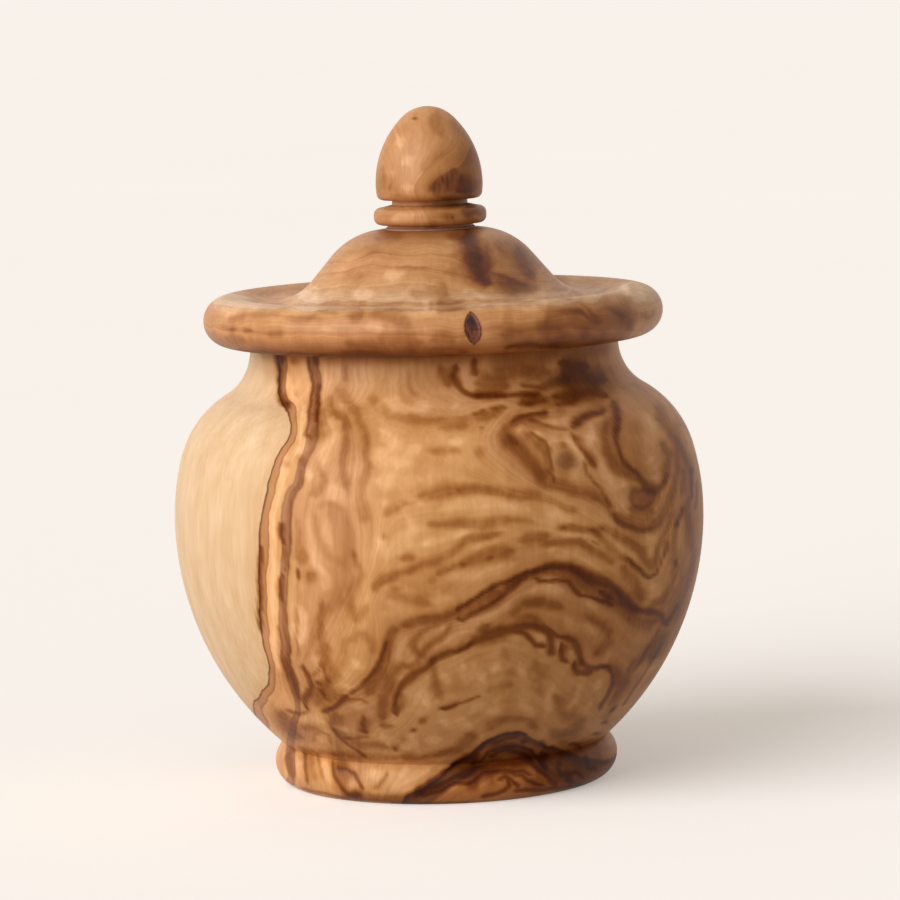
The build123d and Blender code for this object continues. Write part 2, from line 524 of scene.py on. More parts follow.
def olive_wood(name, rings, first, last, gloss, knot_rings=None):
    """Oiled olive wood. The rings are (order, colour), from the first order to the last. The
    traced strokes stain that colour more or less deeply, and so do its own fine streaks. Most
    strokes are figure. Some are painted shadow and shade, which deepen the stain, and some are
    painted sheen, which lightens it. One full stain leaves each of red, green and blue its own share of
    light."""
    red_left, green_left, blue_left = 0.52, 0.38, 0.23
    finish = Finish(name)

    # What varies in a block of wood, with its ripples a metre along X, Y and Z.
    drift = finish.noise(finish.stretched((140, 140, 110)), detail=3.0)
    fray = finish.noise(finish.stretched((900, 900, 420)), detail=3.0, roughness=0.6)
    clouds = finish.noise(finish.stretched((60, 60, 60)), detail=2.0)
    cells = finish.noise(finish.stretched((330, 330, 120)), detail=1.0)
    streaks = finish.noise(finish.stretched((1500, 1500, 90)), detail=2.0)

    # The rings' colours. The sapwood, below order 0, has none of the heart's figure.
    order = finish.attribute("rings")
    heart = (order * 1.4 + 0.1).held()
    order = order + drift.swing(0.12) + fray.swing(0.06)
    stops = [((level - first) / (last - first), colour) for level, colour in rings]
    place = (order - first) / (last - first)
    colour = finish.wire("ShaderNodeValToRGB", {"stops": stops}, {0: place})

    # Swirls and threads follow the rings.
    flow = finish.wire("ShaderNodeCombineXYZ", {}, {"X": order * 7.0, "Y": drift * 2.5})
    swirls = finish.noise(flow, detail=2.0, roughness=0.5)
    threads = finish.wire("ShaderNodeCombineXYZ", {}, {"X": order * 34.0, "Y": drift * 5.0})
    threads = finish.noise(threads, detail=3.0, roughness=0.6)

    # Stain, deepest in the veins and in the painted shadow and shade that some strokes carry.
    broken = 1.0 + fray.swing(1.1) + threads.swing(0.3)
    bands = (finish.attribute("bands") * (broken + cells.swing(1.0))).held()
    bands = bands * (0.6 + clouds * 0.6)
    veins = (finish.attribute("veins") * (broken * 0.6 + 0.5)).held() * (0.8 + clouds * 0.4)
    gleams = (finish.attribute("gleams") * broken).held() * (0.5 + clouds)
    shades = finish.attribute("shades")
    fine = swirls.swing(0.65) + threads.swing(0.15) + drift.swing(0.6) + clouds.swing(0.5)
    fine = fine * heart + cells.swing(0.40) + streaks.swing(0.28)
    stain = bands * 1.05 + veins * 1.6 - gleams * 0.32 + shades * 1.2 + fine
    left = {0: red_left**stain, 1: green_left**stain, 2: blue_left**stain}
    stained = finish.wire("ShaderNodeCombineColor", {}, left)
    colour = finish.mix(colour, stained, 1.0, way="MULTIPLY")
    if knot_rings:
        chips = finish.noise(finish.stretched((1500, 1500, 1100)), detail=3.0, roughness=0.7)
        knot = finish.attribute("knot") + fray.swing(0.14)
        depth = knot + chips.swing(0.6)
        knot_colour = finish.wire("ShaderNodeValToRGB", {"stops": knot_rings}, {0: depth})
        colour = finish.mix(colour, knot_colour, ((knot - 0.32) * 7.0).held())

    # The lathe's faint rings, open pores and the streaks stand in the oiled surface.
    marks = finish.noise(finish.stretched((6, 6, 3600)), detail=2.0)
    pores = finish.noise(finish.stretched((4200, 4200, 500)), detail=1.0)
    height = marks * 0.5 + pores * 0.4 + streaks * 0.4
    bump = finish.wire(
        "ShaderNodeBump", {}, {"Height": height, "Strength": 0.12, "Distance": 0.0002}
    )
    return finish.surface({
        "Base Color": colour,
        "Roughness": 0.44 + streaks.swing(0.2) + threads.swing(0.12),
        "Normal": bump,
        "Specular IOR Level": gloss,
    })


# Each kind of stroke with its blur, how square its edge is, and how long its tips take to narrow.
# Lengths here are in millimetres.
stroke_kinds = {
    "veins": (0.22, 2.2, 0.6),
    "bands": (0.40, 2.4, 1.2),
    "gleams": (0.38, 2.6, 1.2),
    "shades": (1.0, 2.6, 1.2),
}
back_blur = 0.7


def figured(piece, reach, sway, lines, **strokes):
    """Writes the traced figure on the piece for its wood to read. The steps round the piece are
    wider at the back, so the strokes are more blurred there."""
    grain = Grain(piece)
    vertices = vertex_places(piece)
    places = swept_back(vertices, reach, sway)
    coarse = back_blur * np.clip(vertices[:, 1] * 1000 / reach, 0, 1)
    marked(piece, "rings", grain.rings(places, lines))
    for kind, (blur, edge, taper) in stroke_kinds.items():
        held = grain.strokes(places, strokes[kind], np.hypot(blur, coarse), edge, taper)
        marked(piece, kind, held)


pot_section = eased(
    (0, recess_depth), (recess_radius, recess_depth), (recess_radius, 0), (foot_edge_radius, 0)
)
bead_rise = foot_height / 2
bead_swell = foot_bead_radius - (foot_edge_radius + waist_radius) / 2
bead_arc = hypot(bead_rise, bead_swell) ** 2 / (2 * bead_swell)
bead_turn = 2 * asin(bead_rise / bead_arc)
bead_lean = atan((waist_radius - foot_edge_radius) / foot_height)
pot_section += drawn(
    (foot_edge_radius, 0), UP - bead_turn / 2 - bead_lean, (bead_arc, bead_turn), spacing=0.0004
)[1:]
pot_section += drawn(
    (waist_radius, foot_height),
    UP - lower_belly_turn,
    (lower_belly_arc, lower_belly_turn),
    (upper_belly_arc, upper_belly_turn),
    (shoulder_arc, shoulder_turn - upper_belly_turn),
    (neck_arc, -shoulder_turn),
    (neck_land - rim_round,),
    (rim_round, UP),
    (wall - 2 * rim_round,),
    (rim_round, UP),
    spacing=0.00042,
)[1:]
rim_level = pot_section[-1][1] + rim_round
mouth_radius = neck_radius - wall
pot_section += drawn(
    pot_section[-1],
    -UP,
    (neck_land - rim_round,),
    (neck_arc + wall, shoulder_turn),
    (shoulder_arc - wall, upper_belly_turn - shoulder_turn),
    (upper_belly_arc - wall, -upper_belly_turn),
    (inner_belly_arc, -floor_turn),
    (floor_round, floor_turn - UP),
    spacing=0.0035,
)[1:]
pot_section += drawn(pot_section[-1], pi, (pot_section[-1][0],), spacing=0.004)[1:]

# The rings' lines on the belly, in the photograph's pixels, each with its place in the order.
# Order 0 is the edge of the sapwood, and it grows towards the heart in the foot.
belly_lines = [
    (0.0, [(275, 352), (279, 366), (280, 385), (279, 398), (284, 405), (289, 412), (291, 425),
           (289, 438), (282, 450), (275, 459), (272, 472), (269, 488), (264, 502), (261, 518),
           (260, 545), (260, 580), (260, 615), (262, 635), (266, 652), (270, 668), (271, 678),
           (268, 688), (261, 695), (254, 704)]),
    (0.35, [(284, 352), (286, 366), (285, 385), (285, 397), (291, 402), (296, 410), (298, 425),
            (295, 440), (288, 450), (281, 459), (279, 474), (277, 484), (272, 500), (269, 515),
            (268, 540), (266, 575), (267, 610), (269, 640), (274, 660), (277, 675), (275, 688),
            (268, 697), (258, 712)]),
    (1.0, [(309, 354), (310, 370), (313, 385), (312, 398), (309, 412), (308, 425), (306, 438),
           (305, 452), (300, 466), (296, 480), (287, 492), (282, 505), (281, 520), (282, 535),
           (284, 552), (283, 565), (280, 578), (280, 592), (279, 608), (279, 628), (281, 645),
           (283, 662), (287, 676), (292, 690), (296, 703), (292, 722), (287, 742), (286, 765),
           (291, 780)]),
    (1.35, [(319, 354), (319, 370), (321, 390), (318, 410), (317, 425), (318, 438), (313, 450),
            (307, 460), (303, 470), (301, 484), (295, 494), (291, 506), (290, 525), (291, 545),
            (289, 560), (287, 575), (286, 590), (285, 606), (286, 625), (289, 645), (292, 662),
            (295, 676), (299, 690), (301, 704), (299, 722), (295, 742), (295, 765), (298, 782)]),
    (2.5, [(345, 357), (346, 385), (345, 410), (346, 440), (343, 470), (336, 500), (333, 530),
           (336, 560), (333, 590), (322, 620), (312, 645), (304, 664), (309, 676), (312, 688),
           (307, 703), (306, 720), (304, 742), (304, 766), (306, 785)]),
    (3.5, [(340, 400), (347, 410), (356, 422), (364, 435), (367, 450), (369, 467), (366, 482),
           (366, 500), (371, 515), (371, 535), (369, 555), (360, 590), (347, 620), (336, 645),
           (326, 670), (320, 690), (315, 708), (316, 735), (312, 755), (315, 774), (320, 788)]),
    (2.5, [(455, 362), (456, 380), (460, 390), (467, 395), (480, 397), (495, 395), (510, 393),
           (530, 393), (548, 388)]),
    (3.0, [(408, 362), (408, 376), (411, 387), (420, 396), (440, 402), (460, 405), (480, 402),
           (500, 399), (530, 402), (560, 400)]),
    (3.4, [(380, 362), (380, 390), (384, 405), (390, 413), (400, 418), (420, 421), (445, 421),
           (465, 417), (480, 413), (492, 407), (503, 407)]),
    (2.5, [(600, 405), (580, 414), (545, 412), (530, 414), (515, 417), (506, 425), (501, 433),
           (505, 442), (515, 455), (525, 466), (538, 480), (550, 488), (570, 492), (590, 496),
           (602, 504), (612, 513), (625, 524), (640, 530), (655, 529), (665, 516), (672, 500),
           (677, 482), (680, 462), (678, 442), (670, 424), (660, 410)]),
    (2.2, [(618, 424), (626, 440), (636, 452), (650, 462), (655, 446), (650, 432), (636, 424)]),
    (4.0, [(383, 515), (395, 503), (415, 497), (440, 489), (480, 489), (510, 494), (540, 498),
           (565, 506), (590, 518), (615, 534), (640, 545), (660, 543), (675, 527), (685, 500),
           (691, 470), (690, 440)]),
    (4.4, [(387, 548), (395, 534), (410, 527), (430, 523), (460, 522), (500, 519), (535, 520),
           (560, 524), (585, 530), (605, 542), (625, 560), (640, 571), (650, 577), (658, 570),
           (664, 555), (674, 538), (686, 515), (695, 488)]),
    (4.8, [(366, 604), (378, 580), (395, 570), (420, 563), (440, 556), (455, 549), (470, 542),
           (495, 536), (530, 533), (560, 536), (585, 543), (603, 556), (622, 576), (640, 590),
           (655, 594), (668, 580), (679, 558), (692, 530)]),
    (5.5, [(330, 718), (326, 711), (335, 704), (345, 697), (360, 687), (375, 680), (380, 665),
           (382, 650), (385, 639), (390, 628), (397, 623), (408, 619), (425, 618), (442, 617),
           (452, 613), (462, 606), (476, 597), (490, 589), (505, 583), (520, 576), (535, 569),
           (548, 564), (560, 563), (572, 567), (583, 573), (598, 580), (612, 587), (622, 594),
           (632, 604), (644, 611), (656, 612), (668, 602), (680, 580)]),
    (5.85, [(388, 668), (391, 650), (398, 636), (412, 629), (430, 626), (450, 622), (470, 615),
            (490, 606), (505, 598), (520, 587), (535, 579), (550, 577), (565, 581), (578, 590),
            (592, 598), (606, 604), (620, 609), (634, 617), (650, 624), (664, 622)]),
    (6.4, [(402, 672), (416, 655), (424, 646), (436, 637), (450, 630), (470, 626), (490, 622),
           (505, 614), (515, 606), (526, 601), (542, 599), (556, 603), (570, 609), (585, 614),
           (597, 620), (606, 630), (614, 642), (628, 655), (642, 660)]),
    (7.0, [(394, 716), (397, 700), (401, 688), (410, 677), (422, 668), (432, 660), (442, 655),
           (455, 648), (470, 640), (485, 636), (500, 632), (515, 628), (527, 628), (538, 632),
           (548, 640), (556, 644), (565, 640), (572, 643), (579, 655), (584, 666), (592, 669),
           (602, 666), (611, 670), (616, 682), (612, 694), (604, 706)]),
    (8.0, [(400, 740), (412, 728), (425, 718), (445, 708), (465, 698), (485, 689), (505, 684),
           (525, 685), (538, 691), (552, 702), (570, 712), (590, 716)]),
    (9.0, [(405, 797), (420, 790), (432, 783), (445, 773), (455, 764), (466, 757), (478, 748),
           (490, 740), (505, 735), (518, 733), (530, 738), (545, 746), (565, 752)]),
    (10.0, [(440, 795), (455, 786), (468, 777), (480, 768), (492, 760), (507, 756), (520, 758),
            (532, 764), (545, 774), (560, 784)]),
]

# The rings' colours, each at its place in the order.
belly_rings = [
    (-1.0, paint(230, 196, 156)),
    (-0.06, paint(223, 183, 139)),
    (-0.02, paint(112, 70, 40)),
    (0.02, paint(112, 70, 40)),
    (0.06, paint(192, 136, 90)),
    (0.30, paint(196, 138, 90)),
    (0.35, paint(150, 96, 54)),
    (0.40, paint(226, 168, 112)),
    (0.94, paint(222, 165, 110)),
    (0.98, paint(146, 98, 64)),
    (1.02, paint(176, 122, 84)),
    (1.30, paint(178, 122, 82)),
    (1.36, paint(150, 98, 60)),
    (1.46, paint(220, 166, 114)),
    (2.00, paint(216, 160, 110)),
    (2.50, paint(206, 150, 100)),
    (3.00, paint(208, 152, 102)),
    (3.50, paint(218, 163, 108)),
    (4.00, paint(216, 160, 104)),
    (4.40, paint(220, 166, 110)),
    (4.80, paint(210, 154, 98)),
    (5.42, paint(198, 142, 88)),
    (5.52, paint(178, 122, 74)),
    (6.20, paint(196, 142, 92)),
    (6.90, paint(184, 128, 78)),
    (7.04, paint(200, 148, 96)),
    (8.00, paint(200, 148, 96)),
    (8.92, paint(186, 132, 80)),
    (9.00, paint(84, 44, 20)),
    (9.30, paint(146, 92, 48)),
    (9.90, paint(124, 76, 40)),
    (10.1, paint(186, 122, 68)),
]

# The figure's strokes, again in the photograph's pixels. Each is a chain of (x, y, half width),
# after its strength where that isn't full: dark veins, brown bands, pale gleams and soft shades.
# A few strokes are painted light instead of figure: painted shadow, painted shade and painted sheen.
belly_veins_and_contact_shadow = [
    [(276, 354, 2), (276, 361, 1.5), (279, 369, 1.2), (279, 381, 1), (280, 392, 1.3), (279, 400, 2.2),
     (287, 405, 2.5), (288, 409, 2.5)],
    [(280, 355, 4), (281, 364, 2)],
    [(261, 545, 0.8), (261, 558, 1.4), (260, 572, 1.6), (260, 600, 2.2), (260, 618, 1.4),
     (261, 632, 0.6)],
    [0.7, (309, 358, 1), (312, 374, 1), (313, 388, 1.2), (311, 400, 1), (309, 408, 1.2),
     (309, 420, 0.7), (305, 436, 0.7), (312, 438, 0.7)],
    [0.6, (316, 358, 3), (317, 366, 1.5)],
    [0.7, (319, 384, 1.5), (318, 400, 1), (317, 418, 1), (317, 426, 0.8)],
    [0.5, (301, 468, 0.8), (300, 482, 0.8), (293, 492, 0.8), (290, 504, 0.6), (291, 530, 0.6),
     (289, 556, 0.6)],
    [(281, 521, 0.8), (281, 529, 2.6), (282, 537, 1.2), (284, 546, 0.8)],
    [(282, 574, 0.6), (280, 581, 1.6), (280, 588, 2.6), (281, 596, 1.4), (281, 604, 0.6)],
    [0.45, (284, 546, 0.8), (287, 556, 1.2), (288, 566, 1.2), (283, 573, 0.8)],
    [0.4, (284, 600, 0.8), (285, 626, 1), (287, 642, 1.2), (289, 658, 1.4), (292, 676, 1.6),
     (296, 690, 1.6), (301, 701, 1)],
    [0.4, (278, 626, 0.6), (280, 642, 1), (283, 655, 1.2), (285, 667, 2), (288, 678, 1.4)],
    [(298, 567, 0.8), (297, 574, 1), (299, 581, 0.7)],
    [(303, 665, 2), (304, 669, 1.6), (307, 674, 1.2), (310, 682, 1.6), (311, 688, 2), (309, 692, 3.2),
     (306, 698, 3.4), (306, 704, 1.4), (307, 711, 1)],
    [0.7, (307, 712, 0.8), (300, 714, 0.8), (292, 712, 0.8), (286, 709, 0.8)],
    [0.7, (311, 677, 0.5), (318, 670, 0.6), (321, 663, 0.7), (325, 674, 0.7), (330, 683, 0.8)],
    [0.8, (315, 680, 1.4), (320, 683, 1.8)],
    [0.7, (320, 688, 0.8), (324, 694, 1), (328, 701, 0.8)],
    [(323, 712, 1.8), (329, 710, 1.4), (337, 705, 1.8), (343, 699, 2.8), (348, 695, 1.6)],
    [0.8, (349, 694, 1), (358, 688, 1), (366, 681, 1.2), (374, 672, 1.4), (379, 662, 1.4),
     (382, 652, 1), (388, 640, 1)],
    [0.6, (346, 701, 0.8), (354, 699, 0.8), (361, 700, 0.8), (367, 703, 0.8)],
    [(396, 714, 3), (395, 705, 1.8), (396, 697, 1.4), (400, 689, 2), (404, 684, 3.6), (410, 679, 4),
     (414, 675, 4.4), (420, 671, 2.6), (427, 667, 2.8), (433, 660, 3), (440, 656, 3.4), (447, 653, 4),
     (455, 652, 1.6), (465, 648, 1.2), (472, 643, 2), (477, 640, 4), (484, 638, 5), (492, 636, 6),
     (500, 633, 6.4), (508, 630, 3.6), (516, 627, 3.4), (525, 626, 3.6), (535, 626, 4), (543, 629, 3),
     (550, 635, 2.6), (551, 644, 3), (551, 651, 3.4), (555, 652, 1.4)],
    [(512, 631, 1.4), (520, 631, 1.6), (526, 634, 1.6), (531, 640, 2.2), (536, 645, 2),
     (546, 645, 1.8)],
    [(543, 624, 0.8), (549, 629, 1), (555, 635, 1), (562, 637, 1.6), (569, 638, 2.8), (574, 642, 3.4),
     (577, 649, 3.2), (580, 656, 2.2), (583, 663, 2.4), (588, 668, 3.2), (595, 669, 2.4), (601, 667, 2),
     (608, 669, 1.4), (612, 676, 1.2), (613, 684, 1.6), (609, 692, 1.4), (606, 699, 2.2),
     (601, 706, 2.8), (600, 711, 1)],
    [(561, 641, 1), (561, 654, 1.4), (562, 659, 2), (568, 662, 2.2)],
    [(574, 662, 1.6), (574, 669, 2.6), (576, 673, 3), (586, 673, 3), (593, 672, 1)],
    [(455, 611, 1.1), (465, 605, 1.1), (474, 598, 1.1), (483, 592, 1.2), (492, 588, 1.3), (500, 584, 1),
     (510, 580, 1.2), (518, 576, 1.6), (526, 573, 1.4), (536, 570, 2), (546, 567, 2.4), (555, 565, 2.4),
     (566, 565, 2.6), (574, 568, 3.4), (583, 573, 4.4), (592, 577, 5), (602, 580, 4.6), (611, 585, 3.6),
     (619, 592, 4.6), (625, 599, 6), (631, 606, 4), (640, 611, 2.6), (652, 611, 2.6), (661, 616, 2.6),
     (666, 624, 2.6), (672, 614, 1.4), (677, 604, 2)],
    [0.8, (456, 619, 1.6), (463, 620, 1.3), (472, 614, 1.3), (482, 609, 1.4), (492, 604, 1.8),
     (501, 598, 2.6), (507, 591, 3), (514, 585, 2.4), (520, 580, 1.4), (527, 576, 1)],
    [(534, 578, 0.8), (541, 581, 1.4), (549, 582, 1), (558, 580, 1), (567, 582, 1.6), (573, 588, 1.8),
     (580, 594, 1), (590, 597, 1), (599, 600, 1.2), (606, 602, 2.4), (612, 606, 1.2)],
    [(600, 590, 2), (612, 599, 3)],
    [(456, 364, 3.5), (454, 374, 3.5), (458, 384, 3.5), (463, 391, 2), (472, 395, 1.4), (484, 396, 2.2),
     (496, 395, 1.8), (508, 394, 1), (522, 393, 1.4), (533, 395, 2.4), (540, 394, 3)],
    [(474, 358, 2.6), (474, 368, 2.6), (477, 376, 3.4)],
    [0.75, (519, 385, 1), (530, 386, 1), (542, 388, 3), (552, 383, 5), (565, 379, 6), (580, 378, 7),
     (594, 379, 6), (606, 380, 4)],
    [(560, 364, 4), (574, 366, 6), (588, 368, 5)],
    [0.7, (552, 396, 3), (566, 394, 4), (580, 393, 5), (594, 393, 5), (606, 395, 4)],
    [(612, 400, 4), (616, 410, 2.4), (617, 420, 1.8), (616, 432, 1.6), (617, 442, 2), (620, 453, 2),
     (625, 463, 2), (631, 470, 1.6), (637, 476, 1.6), (643, 482, 3.4), (650, 489, 4), (656, 491, 4),
     (661, 488, 3), (666, 480, 1.6), (669, 472, 1)],
    [0.6, (518, 402, 1.6), (526, 403, 1.6), (536, 402, 2.4), (546, 400, 2.4)],
    [0.5, (556, 405, 1.6), (566, 403, 2), (575, 398, 3)],
    [0.6, (488, 409, 0.9), (497, 407, 1.4), (507, 406, 1)],
    [0.6, (471, 414, 0.8), (479, 413, 0.8), (486, 410, 0.7)],
    [0.6, (478, 428, 0.5), (483, 428, 1)],
    [0.6, (548, 412, 1), (536, 414, 1.2), (526, 416, 1.2), (517, 418, 1.4), (510, 422, 1.4)],
    [0.55, (528, 420, 1), (538, 423, 0.8), (548, 426, 0.8), (558, 429, 0.8), (568, 431, 0.8)],
    [0.9, (570, 429, 1.4), (576, 425, 3), (580, 421, 3), (585, 416, 2.6), (594, 413, 2.4),
     (604, 410, 1.6)],
    [0.4, (508, 436, 2), (512, 441, 2), (519, 446, 2)],
    [0.65, (529, 431, 1), (536, 437, 1), (544, 442, 1.2), (549, 450, 1.2), (551, 460, 1), (551, 472, 1),
     (554, 483, 1.4)],
    [0.6, (570, 433, 0.8), (577, 441, 0.9), (583, 450, 1), (590, 460, 1.6), (595, 468, 1.6)],
    [0.3, (560, 443, 2), (565, 448, 2)],
    [0.6, (584, 462, 0.8), (586, 472, 0.8), (593, 481, 0.9), (601, 490, 1.2), (607, 498, 1.6),
     (613, 506, 2)],
    [0.5, (611, 513, 2), (619, 521, 2), (628, 527, 2), (640, 530, 2.4), (652, 529, 2)],
    [0.6, (599, 529, 0.8), (606, 530, 0.8)],
    [0.6, (590, 530, 1.4), (597, 531, 1.4), (602, 536, 1.4)],
    [0.6, (559, 528, 1), (566, 526, 1.6)],
    [(627, 558, 0.8), (632, 564, 1), (639, 569, 1), (644, 574, 1.8), (650, 577, 1.6), (656, 573, 1),
     (660, 565, 0.8), (664, 555, 1), (666, 546, 1.2), (667, 539, 1)],
    [(683, 506, 0.8), (680, 517, 1), (677, 526, 1)],
    [(675, 560, 1), (677, 568, 1)],
    [0.5, (457, 489, 0.8), (462, 493, 0.8)],
    [0.5, (445, 572, 0.8), (452, 569, 0.8)],
    [0.5, (459, 566, 1), (467, 564, 0.8)],
    [0.5, (485, 560, 0.5), (493, 557, 1)],
    [0.5, (385, 532, 0.7), (385, 541, 0.7)],
    [(405, 796, 0.8), (419, 788, 1), (432, 780, 1.2), (443, 773, 1), (452, 768, 1), (460, 761, 2.4),
     (467, 757, 4), (474, 756, 4.6), (479, 750, 1.8), (484, 745, 1.2), (491, 741, 1), (499, 737, 1),
     (508, 734, 0.8), (518, 733, 0.8), (526, 735, 1)],
    [(414, 797, 1.4), (427, 789, 2), (440, 784, 1.4), (448, 781, 1.6), (456, 777, 1), (466, 774, 3),
     (475, 769, 3), (486, 766, 3), (496, 762, 4.6), (508, 762, 4.6), (519, 761, 5), (528, 762, 3),
     (536, 767, 1.6), (544, 773, 1.4), (549, 779, 1.4), (557, 786, 3)],
    [(489, 757, 2), (498, 752, 1), (508, 750, 0.8), (517, 752, 1), (526, 756, 1.4), (533, 763, 1.4)],
    [(488, 743, 0.7), (498, 743, 0.7), (508, 739, 0.6), (518, 737, 0.6)],
    [(420, 796, 1), (440, 790, 1), (456, 783, 1), (470, 782, 1.2), (484, 772, 1), (500, 771, 1),
     (512, 771, 1.2), (524, 771, 1), (532, 776, 1)],
    [(470, 764, 1.2), (480, 761, 1), (490, 751, 1), (504, 747, 1), (518, 746, 1), (530, 751, 1.2),
     (540, 760, 1.2), (548, 770, 1.4)],
    [(498, 780, 1), (506, 776, 1.2), (514, 780, 1), (520, 788, 1)],
    [(556, 766, 1.4), (562, 774, 1.6), (574, 772, 1.2), (584, 778, 1.4)],
    [(586, 756, 1.4), (590, 768, 1.4), (598, 770, 1.2)],
    [(520, 742, 2.2), (527, 742, 2.4)],
    [(513, 774, 0.7), (522, 775, 0.8), (528, 781, 1), (537, 785, 1), (548, 786, 0.7)],
    [(508, 777, 0.8), (510, 785, 1.6), (504, 790, 1.6), (494, 794, 1.4), (480, 797, 1.2)],
    [(513, 783, 1.4), (521, 784, 1)],
    [(514, 790, 1), (526, 790, 1.2), (538, 791, 2), (552, 789, 2), (566, 787, 2), (582, 784, 1.4)],
    [(543, 751, 3), (543, 758, 3.4), (545, 764, 2)],
    [(540, 741, 2.4), (546, 747, 1.4), (556, 747, 1.4)],
    [0.8, (566, 769, 2), (568, 776, 3), (570, 783, 3)],
    [(559, 760, 2.6), (558, 766, 2.6)],
    [(570, 743, 2), (577, 745, 1.6), (581, 750, 1)],
    [(593, 733, 1), (602, 733, 1.2)],
    [(603, 722, 1.6), (608, 723, 1)],
    [(610, 712, 1), (615, 706, 1.8)],
    [0.7, (330, 720, 0.8), (332, 728, 0.8), (338, 736, 0.8), (347, 744, 1), (357, 751, 1),
     (367, 758, 1.2)],
    [0.5, (342, 738, 1), (356, 738, 1), (370, 737, 1)],
    [0.5, (312, 742, 0.6), (314, 734, 0.6), (321, 731, 0.6), (329, 735, 0.6), (331, 744, 0.6)],
    [0.6, (363, 714, 0.8), (362, 722, 1), (363, 730, 3), (367, 733, 2)],
    [0.7, (331, 754, 3), (336, 755, 1.4)],
    [0.8, (332, 760, 0.8), (334, 770, 1), (337, 780, 1.2), (342, 788, 1.6), (348, 794, 2.4)],
    [0.9, (346, 795, 3), (353, 796, 3.4), (361, 795, 2)],
    [0.8, (337, 768, 1), (348, 770, 1), (355, 775, 1), (360, 783, 1), (363, 790, 1.4)],
    [0.6, (377, 789, 0.7), (384, 780, 0.7), (388, 771, 0.7)],
    [0.7, (304, 750, 1.2), (305, 766, 1.2), (307, 784, 1.2)],
    [0.5, (318, 752, 0.8), (320, 768, 0.8), (322, 781, 0.8)],
    [0.5, (394, 746, 1.2), (396, 751, 1.8)],
    [0.5, (411, 731, 1.4), (416, 729, 1.2)],
    [(440, 709, 1.8), (446, 709, 1.4), (453, 705, 0.6), (461, 703, 0.6), (471, 699, 0.6),
     (480, 695, 0.6)],
    [(592, 540, 0.5), (600, 545, 0.5)],
    [0.6, (664, 640, 1), (650, 664, 1.1), (636, 686, 1.1), (622, 706, 1.2)],
    [0.6, (674, 648, 1.2), (658, 674, 1.2), (642, 698, 1.4), (626, 718, 1.4)],
    [0.5, (660, 628, 1), (646, 650, 1), (634, 672, 1)],
    [(691, 466, 0.8), (692, 484, 1.2), (691, 500, 0.8)],
    [(697, 478, 0.7), (697, 492, 0.8), (695, 510, 0.7)],
    # Painted contact shadow: a thin dark line along the foot's bottom edge, where it meets the floor.
    [0.8, (284, 781, 0.8), (300, 788, 0.8), (330, 795, 0.8), (370, 800, 0.8), (420, 802, 0.8),
     (470, 802, 0.8), (520, 799, 0.8), (560, 794, 0.8), (600, 782, 0.8)],
]

